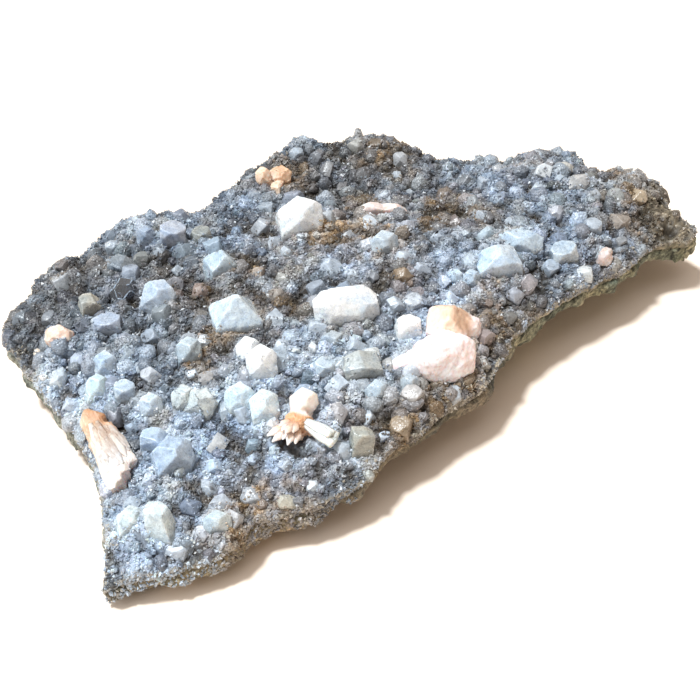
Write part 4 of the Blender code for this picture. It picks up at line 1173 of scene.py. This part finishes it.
def build_pale():
    rng = np.random.default_rng(404)
    looks = {
        "pale_lens_centre": (0.84, 0.92, 0.97), "pale_crystal_back_centre": (0.82, 0.94, 0.98),
        "pale_pyramid_left": (0.70, 0.76, 0.81), "pale_block_left": (0.60, 0.66, 0.76),
        "pale_tent_right": (0.60, 0.69, 0.80), "pale_rounded_right": (0.49, 0.57, 0.66),
        "pale_block_far_right": (0.52, 0.57, 0.62), "pale_cube_by_stilbite": (0.96, 0.96, 0.93),
        "pale_mint_crystal_left": (0.68, 0.82, 0.85), "pale_lavender_block_left": (0.45, 0.50, 0.62),
        "pale_cream_group_left": (0.64, 0.66, 0.64), "pale_group_centre_left": (0.84, 0.93, 0.94),
        "pale_pair_centre_left": (0.72, 0.83, 0.89), "pale_wedge_back": (0.52, 0.61, 0.69),
        "pale_block_back_left": (0.48, 0.49, 0.57), "pale_block_back_edge": (0.36, 0.41, 0.51),
        "pale_cream_block_back": (0.40, 0.37, 0.31), "pale_smoky_block_back": (0.25, 0.275, 0.31),
        "pale_cream_block_left": (0.52, 0.46, 0.36), "pale_pair_left_front": (0.46, 0.57, 0.73),
        "pale_slab_below_centre": (0.50, 0.49, 0.45), "pale_prism_front_lip": (0.48, 0.44, 0.35),
        "pale_crystal_front_bay": (0.58, 0.64, 0.66), "pale_block_front_tip": (0.66, 0.73, 0.73),
        "pale_prism_front_tip": (0.68, 0.76, 0.78), "pale_crystal_ridge": (0.50, 0.54, 0.59),
        "pale_block_front_centre": (0.50, 0.58, 0.66), "pale_round_front_centre": (0.46, 0.50, 0.54),
        "pale_block_under_lens": (0.48, 0.52, 0.56), "pale_small_cube_centre": (0.60, 0.66, 0.72),
        "pale_pair_right_of_centre": (0.50, 0.60, 0.72), "pale_crystal_left_middle": (0.60, 0.68, 0.77),
        "pale_round_crystal_left": (0.56, 0.64, 0.73), "pale_small_block_left": (0.56, 0.63, 0.71),
        "pale_crystal_upper_left": (0.56, 0.62, 0.66),
    }
    layers = []
    left = np.array([-0.75, 0.25, 0.6])
    for name in sorted(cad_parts):
        if not name.startswith("pale_"):
            continue
        v, t = refined(name, 0.22, 0.80)
        n = normals_of(v, t)
        shift = rng.normal(size=3) * 30
        chips = np.clip(fbm((v + shift) / 1.5, 2, 8) - 0.28, 0, 1) * 0.40
        v = v + n * (0.10 * fbm((v + shift) / 2.6, 3, 5) + 0.08 * fbm((v + shift) / 0.8, 2, 6) - chips)[:, None]
        look = np.array(looks.get(name, (0.50, 0.57, 0.64)))
        look = look * (1.14 if look.mean() > 0.85 else 0.93)
        grey = look.mean() * np.array([0.98, 1.0, 1.015])
        tint = np.tile(np.minimum(0.66 * look + 0.34 * grey, 0.95), (len(v), 1))
        # painted light: faces turned to the left and up made bluer, faces to the right and front made warmer
        painted_cool_light = np.clip(n @ left, 0, 1)
        warm = np.clip(n @ np.array([0.75, -0.5, 0.0]), 0, 1)
        tint = tint * (1.0 + painted_cool_light[:, None] * np.array([-0.06, 0.02, 0.07]))
        tint = tint * (1.0 + warm[:, None] * np.array([0.0, -0.01, -0.05]))
        low = v[:, 2].min()
        foot = np.clip(1.0 - (v[:, 2] - low - 2.8) / 2.6, 0, 1)
        tint = mix(tint, (0.30, 0.28, 0.24), foot * 0.6 * np.clip(0.6 + fbm((v + shift) / 1.5, 2, 9), 0, 1))
        tint = tint * (1.0 + 0.16 * fbm((v + shift) / 2.8, 3, 7))[:, None] * (0.99, 1.0, 1.005)
        me = mesh_of(name + "_fine", v, t, np.clip(tint, 0, 0.92), smooth=True)
        add_piece(name + "_fine", me, M_MILKY, (name,))
        layers.append((v - [SHIFT, 0, 0], t))
    return layers


def blade(start, direction, length, width, thick, tip, rng, rings=10, sides=8):
    """A thin crystal blade: widens from its start, then ends in a point (tip 0) or
    squared off (tip 1), grained along its length."""
    a = np.array(direction, float)
    a /= np.linalg.norm(a)
    across = np.cross(a, (0, 0, 1.0))
    across /= np.linalg.norm(across)
    up = np.cross(across, a)
    verts, along = [], []
    phase = rng.random() * 50
    for i in range(rings):
        s = i / (rings - 1)
        grow = 0.55 + 0.45 * min(1.0, s / 0.65)
        end = 1.0 if s < 0.72 else max(0.06 + 0.70 * tip, 1.0 - (s - 0.72) / 0.28 * (1.0 - 0.55 * tip))
        for k in range(sides):
            q = math.tau * (k + 0.5) / sides
            cx, cy = math.cos(q), math.sin(q)
            sq = 1.0 / max(abs(cx), abs(cy)) ** 0.7
            grain = 1.0 + 0.10 * noise.noise(Vector((k * 1.7, phase, s * 1.2)))
            p = (np.array(start) + a * length * s + across * cx * sq * width / 2 * grow * end * grain
                 + up * cy * sq * thick / 2 * grow * end * grain)
            verts.append(p)
            along.append(s)
    tris = []
    for i in range(rings - 1):
        for k in range(sides):
            m = (k + 1) % sides
            p, q, r, w = i * sides + k, i * sides + m, (i + 1) * sides + m, (i + 1) * sides + k
            tris += [(p, r, q), (p, w, r)]
    first, last = len(verts), len(verts) + 1
    verts += [np.array(start), np.array(start) + a * length * (1.02 + 0.02 * (1 - tip))]
    along += [0.0, 1.0]
    for k in range(sides):
        m = (k + 1) % sides
        tris += [(first, k, m), (last, (rings - 1) * sides + m, (rings - 1) * sides + k)]
    return np.array(verts), np.array(tris), np.array(along)


def build_clear():
    name = "clear_smoky_block_left"
    v, t = refined(name, 0.30, 0.8)
    n = normals_of(v, t)
    v = v + n * (0.06 * fbm(v / 1.5, 2, 5))[:, None]
    me = mesh_of(name + "_fine", v, t, np.full((len(v), 3), 0.6), smooth=True)
    add_piece(name + "_fine", me, M_CLEAR, (name,))
    # white growth along the upper edges
    rng = np.random.default_rng(626)
    bm = bmesh.new()
    bm.from_mesh(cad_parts[name].data)
    bmesh.ops.remove_doubles(bm, verts=bm.verts, dist=0.00002)
    bmesh.ops.dissolve_limit(bm, angle_limit=math.radians(1.0), verts=bm.verts[:], edges=bm.edges[:])
    bm.normal_update()
    top = max(x.co.z for x in bm.verts) / MM
    vs, ts, base = [], [], 0
    for e in bm.edges:
        a, b = (np.array(x.co) / MM for x in e.verts)
        length = np.linalg.norm(b - a)
        if length < 0.8 or len(e.link_faces) != 2 or e.calc_face_angle(0.0) < math.radians(15) or max(a[2], b[2]) < top - 4.0:
            continue
        out = e.link_faces[0].normal + e.link_faces[1].normal
        out = np.array(out.normalized())
        if out[2] < 0.1 or abs(b[2] - a[2]) > 0.97 * length:
            continue
        if rng.random() < 0.30:
            continue
        bv, bt, _ = blade(a - out * 0.10, b - a, length, rng.uniform(0.30, 0.60), 0.30, 0.9, rng, 8, 8)
        bv = bv + normals_of(bv, bt) * (0.07 * fbm(bv / 0.6, 2, 12))[:, None]
        vs.append(bv)
        ts.append(bt + base)
        base += len(bv)
    bm.free()
    ev, et = np.vstack(vs), np.vstack(ts)
    me = mesh_of("clear_block_edges", ev, et, np.tile(np.array([0.38, 0.47, 0.60]), (len(ev), 1)), smooth=True)
    add_piece("clear_block_edges", me, M_SMALL)
    return [(v - [SHIFT, 0, 0], t)]


def blended(node_name, voxel, rounds):
    """The node's solids run together into one body, with softened edges."""
    ob = bpy.data.objects.new("blend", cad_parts[node_name].data.copy())
    bpy.context.scene.collection.objects.link(ob)
    mod = ob.modifiers.new("even", 'REMESH')
    mod.mode = 'VOXEL'
    mod.voxel_size = voxel * MM
    mod = ob.modifiers.new("soft", 'SMOOTH')
    mod.factor, mod.iterations = 0.5, rounds
    bpy.context.view_layer.update()
    v, t = arrays_of(ob)
    bpy.data.objects.remove(ob, do_unlink=True)
    return v, t


def striae(v, focus, axis, pitch, reach, seed):
    """Grain that runs from a focus along an axis, and fans out with distance."""
    a = np.array(axis, float)
    a /= np.linalg.norm(a)
    q = v - np.array(focus)
    along = q @ a
    across = q - along[:, None] * a
    across = across / (1.0 + np.clip(along, 0, 99)[:, None] / reach)
    return fbm((across + a * along[:, None] / 14.0) / pitch, 3, seed, 0.6)


def at_plate(x, y):
    return np.array([x + SHIFT, y, float(top_height(np.array([[x, y]], float))[0])])


def build_sheaf():
    """Sheaf on the left edge: an orange head over pink blades that fan downward."""
    name = "stilbite_sheaf_left_edge"
    v, t = blended(name, 0.36, 10)
    n = normals_of(v, t)
    head = at_plate(-80.4, -5.0)
    tail = at_plate(-82.8, -22.0)
    axis = tail - head
    grain = striae(v, head - axis * 0.3, axis, 0.9, 14.0, 301)
    fine = striae(v, head - axis * 0.3, axis, 0.40, 14.0, 305)
    span = (v - head) @ axis / (axis @ axis)
    body = np.clip((span - 0.1) / 0.25, 0, 1)
    split = np.clip(np.abs(grain) * 2.2, 0, 1)
    v = v + n * ((0.20 * grain - 0.16 * (1 - split)) * body + 0.10 * fine + 0.14 * fbm(v / 1.6, 2, 311)
                 + 0.35 * fbm(v / 4.5, 2, 315) - 0.25 * body)[:, None]
    tint = np.tile(np.array([0.50, 0.29, 0.165]), (len(v), 1))
    tint = mix(tint, (0.72, 0.53, 0.45), np.clip((span - 0.1) / 0.3, 0, 1))
    tint = mix(tint, (0.76, 0.64, 0.60), np.clip((span - 0.40) / 0.4, 0, 1))
    # painted light: faces turned to the left and up mixed paler
    west = np.clip(n @ np.array([-0.9, 0.2, 0.3]), 0, 1)
    tint = mix(tint, (0.60, 0.51, 0.43), west * 0.5)
    tint = mix(tint, (0.66, 0.46, 0.38), np.clip(-grain * 1.6, 0, 1) * 0.35)
    tint = mix(tint, (0.74, 0.65, 0.60), np.clip(fine, 0, 1) * 0.5)
    rng = np.random.default_rng(616)
    tree = tree_of(v, t)
    side = np.cross(axis, (0, 0, 1.0))
    side /= np.linalg.norm(side)
    low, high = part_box(name)
    low, high = np.array(low) / MM, np.array(high) / MM
    vs, ts, cs, base = [v], [t], [tint], len(v)
    for k in range(26):
        s0 = rng.uniform(0.08, 0.55)
        s1 = min(s0 + rng.uniform(0.30, 0.55), 1.02)
        off = rng.uniform(-3.6, 3.6)
        a, b = head + axis * s0 + side * off * 0.75, head + axis * s1 + side * off * 1.15
        hits = [tree.ray_cast(Vector((p[0], p[1], 60.0)), Vector((0, 0, -1)))[0] for p in (a, b)]
        if None in hits:
            continue
        a, b = np.array(hits[0]), np.array(hits[1])
        length = np.linalg.norm(b - a)
        if abs(b[2] - a[2]) > 0.6 * length:
            continue
        bv, bt, s = blade(a, b - a, length, rng.uniform(1.3, 2.4), rng.uniform(0.6, 0.95), rng.uniform(0.2, 0.9), rng)
        bv = np.clip(bv, low - 0.2, high + 0.2)
        place = np.clip(s0 + s * (s1 - s0), 0, 1)
        colour = mix(np.tile(np.array([0.60, 0.38, 0.26]), (len(bv), 1)), (0.74, 0.60, 0.54), np.clip(place / 0.5, 0, 1))
        colour = mix(colour, (0.80, 0.75, 0.72), np.full(len(bv), rng.uniform(0.0, 0.8)))
        vs.append(bv)
        ts.append(bt + base)
        cs.append(colour)
        base += len(bv)
    v, t, tint = np.vstack(vs), np.vstack(ts), np.vstack(cs)
    # peach down the middle, cream along the outer side, nearly white at the tail
    cream = np.clip(((v - head) @ side - 0.3) / 2.4, 0, 1)[:, None]
    white = np.clip(((v - head) @ axis / (axis @ axis) - 0.50) / 0.40, 0, 1)[:, None]
    tint = tint * (np.array([0.97, 0.86, 0.75]) * (1 - cream) + np.array([1.16, 1.16, 1.10]) * cream)
    tint = mix(tint, (0.86, 0.78, 0.74), white[:, 0] * 0.85)
    me = mesh_of(name + "_fine", v, t, np.clip(tint, 0, 0.95), smooth=True)
    add_piece(name + "_fine", me, M_SHEAF, (name,))
    return [(v - [SHIFT, 0, 0], t)]


def build_bowtie():
    """Bow-tie: a round cream knot, an orange waist and two fans of blades."""
    name = "stilbite_bowtie_centre"
    rng = np.random.default_rng(606)
    v, t = blended(name, 0.30, 8)
    knot = at_plate(-39.2, -34.8) + [0, 0, 3.0]
    waist = at_plate(-42.6, -37.2) + [0, 0, 1.9]
    right = np.array([math.cos(_a), math.sin(_a), 0.0])
    near = -np.array([-math.sin(_a), math.cos(_a), 0.0])
    n = normals_of(v, t)
    q = v - waist
    r = np.linalg.norm(q, axis=1)
    u = q / np.maximum(r, 1e-6)[:, None]
    rays = fbm(u * 9.0 + r[:, None] / 16.0, 3, 321, 0.6)
    off_knot = np.clip((np.linalg.norm(v - knot, axis=1) - 3.2) / 1.2, 0, 1)
    fan = np.clip((r - 3.2) / 2.0, 0, 1) * off_knot
    # the run-together body only fills the middle; the blades make the fans
    pull = np.where(r > 3.4, (3.4 + (r - 3.4) * 0.30) / np.maximum(r, 1e-6), 1.0)
    v = np.where((off_knot > 0.5)[:, None], waist + q * pull[:, None], v)
    v = v - n * (0.30 * fan)[:, None] + n * (0.30 * rays * off_knot + 0.06 * fbm(v / 0.7, 2, 331))[:, None]
    tint = np.tile(np.array([0.72, 0.36, 0.19]), (len(v), 1))
    tint = mix(tint, (0.74, 0.52, 0.40), np.clip((r - 3.0) / 4.5, 0, 1))
    tint = mix(tint, (0.56, 0.25, 0.13), np.clip(-rays * 1.4, 0, 1) * 0.5)
    ball = np.clip(1.0 - (np.linalg.norm(v - knot, axis=1) - 3.6) / 1.4, 0, 1)
    tint = mix(tint, (0.84, 0.80, 0.76), ball)
    # painted shade: knot faces turned to the right made darker and warmer
    tint = mix(tint, (0.76, 0.62, 0.52), ball * np.clip(n @ right * 0.8, 0, 1))
    low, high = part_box(name)
    low, high = np.array(low) / MM, np.array(high) / MM
    vs, ts, cs, base = [v], [t], [tint], len(v)
    plan = [(d, rng.uniform(6.0, 8.4), 2.4, 1.3, 0.20, 0) for d in (-59, -45, -31, -17, -4)]
    plan += [(d, rng.uniform(4.6, 6.8), 2.1, 1.2, 0.12, 1) for d in (-52, -38, -24, -10)]
    plan += [(d, rng.uniform(9.6, 10.8), 2.9, 2.3, 1.0, 2) for d in (45, 52, 59)]
    plan += [(d, rng.uniform(8.8, 9.8), 2.4, 1.8, 1.0, 3) for d in (49, 56)]
    for angle, length, width, thick, tip, row in plan:
        q = math.radians(angle)
        d = near * math.cos(q) + right * math.sin(q)
        lift = {0: -0.16, 1: 0.10, 2: -0.04, 3: 0.08}[row] + 0.05 * rng.normal()
        start = waist + d * 0.9 + [0, 0, 0.5 if row in (0, 2) else 1.1]
        bv, bt, s = blade(start, d + np.array([0, 0, lift]), length, width, thick, tip, rng)
        bv = np.clip(bv, low - 0.3, high + 0.3)
        if row < 2:
            colour = mix(np.tile(np.array([0.74, 0.37, 0.20]), (len(bv), 1)), (0.80, 0.55, 0.44), np.clip((s - 0.28) / 0.4, 0, 1))
            colour = mix(colour, (0.84, 0.76, 0.72), np.clip((s - 0.55) / 0.4, 0, 1) * rng.uniform(0.3, 1.0))
        else:
            colour = mix(np.tile(np.array([0.76, 0.56, 0.42]), (len(bv), 1)), (0.74, 0.74, 0.68), np.clip((s - 0.05) / 0.25, 0, 1))
            colour = mix(colour, (0.86, 0.88, 0.84), np.full(len(bv), rng.uniform(0.0, 0.7)))
        vs.append(bv)
        ts.append(bt + base)
        cs.append(colour)
        base += len(bv)
    v, t, tint = np.vstack(vs), np.vstack(ts), np.vstack(cs)
    me = mesh_of(name + "_fine", v, t, np.clip(tint, 0, 0.95), smooth=True)
    add_piece(name + "_fine", me, M_STILBITE, (name,))
    return [(v - [SHIFT, 0, 0], t)]


def build_stilbite():
    layers = build_sheaf() + build_bowtie()
    for name in sorted(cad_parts):
        if not name.startswith("stilbite_") or name in ("stilbite_sheaf_left_edge", "stilbite_bowtie_centre"):
            continue
        if name == "stilbite_pair_right":
            v, t = blended(name, 0.50, 20)
        elif name == "stilbite_blade_back":
            v, t = blended(name, 0.28, 6)
        else:
            v, t = refined(name, 0.55, 0.5)
        n = normals_of(v, t)
        rough_skin = 0.22 * fbm(v / 1.9, 3, 15) + 0.14 * fbm(v / 0.8, 2, 17)
        v = v + n * (rough_skin * (0.3 if name == "stilbite_blade_back" else 1.0))[:, None]
        mottle = fbm(v / 1.5, 3, 19)
        if name == "stilbite_pair_right":
            tint = np.tile(np.array([0.84, 0.77, 0.78]), (len(v), 1))
            tint = mix(tint, (0.90, 0.88, 0.90), np.clip(0.55 + 1.2 * mottle, 0, 1))
            tint = mix(tint, (0.80, 0.58, 0.54), np.clip(-mottle * 1.5 - 0.20, 0, 1) * 0.6)
            tint = mix(tint, (0.66, 0.43, 0.41), np.clip(1.0 - 5.0 * np.abs(fbm(v / 1.4, 2, 23)), 0, 1) * 0.55)
            behind = at_plate(4.6, -36.4)
            far = np.clip(1.0 - (np.hypot(v[:, 0] - behind[0], v[:, 1] - behind[1]) - 4.8) / 1.6, 0, 1)
            tint = mix(tint, (0.78, 0.56, 0.45), far)
            # painted shade: faces turned to the right made dark brown at the back and pinker in front
            painted_shade_east = np.clip(n @ np.array([0.9, -0.35, 0.1]), 0, 1)
            tint = mix(tint, (0.46, 0.26, 0.14), far * np.sqrt(painted_shade_east) * 0.88)
            # painted light: faces turned to the upper left made a lighter peach at the back
            tint = mix(tint, (0.86, 0.67, 0.53), far * np.clip(n @ np.array([-0.7, 0.1, 0.7]), 0, 1) * 0.7)
            tint = mix(tint, (0.84, 0.60, 0.52), (1 - far) * painted_shade_east * 0.5)
        elif name == "stilbite_blade_back":
            tint = np.tile(np.array([0.69, 0.56, 0.53]), (len(v), 1))
            tint = mix(tint, (0.74, 0.69, 0.66), np.clip(0.3 + mottle, 0, 1))
        elif name == "stilbite_group_back":
            tint = np.tile(np.array([0.72, 0.56, 0.44]), (len(v), 1))
            lumps = np.clip((v[:, 0] - (5.4 + SHIFT)) / 1.0, 0, 1)
            tint = mix(tint, (0.56, 0.33, 0.19), lumps * 0.7)
            tint = mix(tint, (0.66, 0.42, 0.28), np.clip(-mottle * 1.4, 0, 1) * 0.6)
        else:
            tint = np.tile(np.array([0.70, 0.52, 0.43]), (len(v), 1))
            tint = mix(tint, (0.76, 0.67, 0.62), np.clip((0.6 if name == "stilbite_chip_right" else 0.2) + mottle, 0, 1))
            if name == "stilbite_chip_right":
                tint = tint * (0.84, 0.86, 0.92)
        me = mesh_of(name + "_fine", v, t, np.clip(tint, 0, 0.95), smooth=True)
        add_piece(name + "_fine", me, M_STILBITE, (name,))
        layers.append((v - [SHIFT, 0, 0], t))
    return layers


build_sugar([(ground_v, ground_t), (nv1, nt1), (nv2, nt2), (sv, st)], build_pale() + build_clear(), build_stilbite())
build_rim()

# ---------------------------------------------------------------------------
# Floor and light
# ---------------------------------------------------------------------------
def build_stage():
    me = bpy.data.meshes.new("floor")
    me.from_pydata([(-6, -6, 0), (6, -6, 0), (6, 6, 0), (-6, 6, 0)], [], [(0, 1, 2, 3)])
    floor = bpy.data.objects.new("floor", me)
    bpy.context.scene.collection.objects.link(floor)
    floor.location.z = -0.0002
    mat, nt, sh = principled("floor_white")
    sh.inputs["Base Color"].default_value = (0.90, 0.77, 0.66, 1.0)
    set_in(sh, Roughness=0.9)
    me.materials.append(mat)
    floor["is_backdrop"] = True

    world = bpy.data.worlds.new("world")
    bpy.context.scene.world = world
    world.use_nodes = True
    nt = world.node_tree
    bg = nt.nodes["Background"]
    bg.inputs["Color"].default_value = (1.0, 0.85, 0.71, 1.0)
    bg.inputs["Strength"].default_value = 0.40
    white = nt.nodes.new("ShaderNodeBackground")
    white.inputs["Color"].default_value = (1.0, 1.0, 1.0, 1.0)
    white.inputs["Strength"].default_value = 1.0
    path = nt.nodes.new("ShaderNodeLightPath")
    mixer = nt.nodes.new("ShaderNodeMixShader")
    nt.links.new(path.outputs["Is Camera Ray"], mixer.inputs["Fac"])
    nt.links.new(bg.outputs["Background"], mixer.inputs[1])
    nt.links.new(white.outputs["Background"], mixer.inputs[2])
    nt.links.new(mixer.outputs["Shader"], nt.nodes["World Output"].inputs["Surface"])

    def softbox(name, direction, distance, size, power, colour):
        light = bpy.data.lights.new(name, 'AREA')
        light.shape = 'RECTANGLE'
        light.size, light.size_y = size
        light.energy = power
        light.color = colour
        ob = bpy.data.objects.new(name, light)
        bpy.context.scene.collection.objects.link(ob)
        d = Vector(direction).normalized()
        ob.location = d * distance
        ob.rotation_mode = 'QUATERNION'
        ob.rotation_quaternion = (-d).to_track_quat('-Z', 'Y')
        return ob

    # directions seen from the viewer: right, away, up
    right = Vector((math.cos(_a), math.sin(_a), 0))
    away = Vector((-math.sin(_a), math.cos(_a), 0))
    up = Vector((0, 0, 1))
    key = bpy.data.lights.new("key", 'SUN')
    key.energy, key.angle, key.color = 4.25, 0.15, (0.92, 0.97, 1.0)
    lamp = bpy.data.objects.new("key", key)
    bpy.context.scene.collection.objects.link(lamp)
    lamp.location = (0, 0, 1.3)
    lamp.rotation_mode = 'QUATERNION'
    lamp.rotation_quaternion = (0.40 * right - 0.03 * away - 1.15 * up).to_track_quat('-Z', 'Y')
    softbox("fill", -0.95 * right - 0.55 * away + 0.75 * up, 1.5, (1.1, 1.1), 9.0, (0.84, 0.94, 1.0))
    softbox("top", 0.05 * right - 0.05 * away + 1.0 * up, 1.5, (1.0, 1.0), 3.0, (0.95, 0.98, 1.0))


build_stage()
bpy.context.scene.view_settings.view_transform = 'Standard'
bpy.context.scene.view_settings.look = 'None'

total = 0
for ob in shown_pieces():
    if ob.type == 'MESH':
        ob.data.calc_loop_triangles()
        total += len(ob.data.loop_triangles)
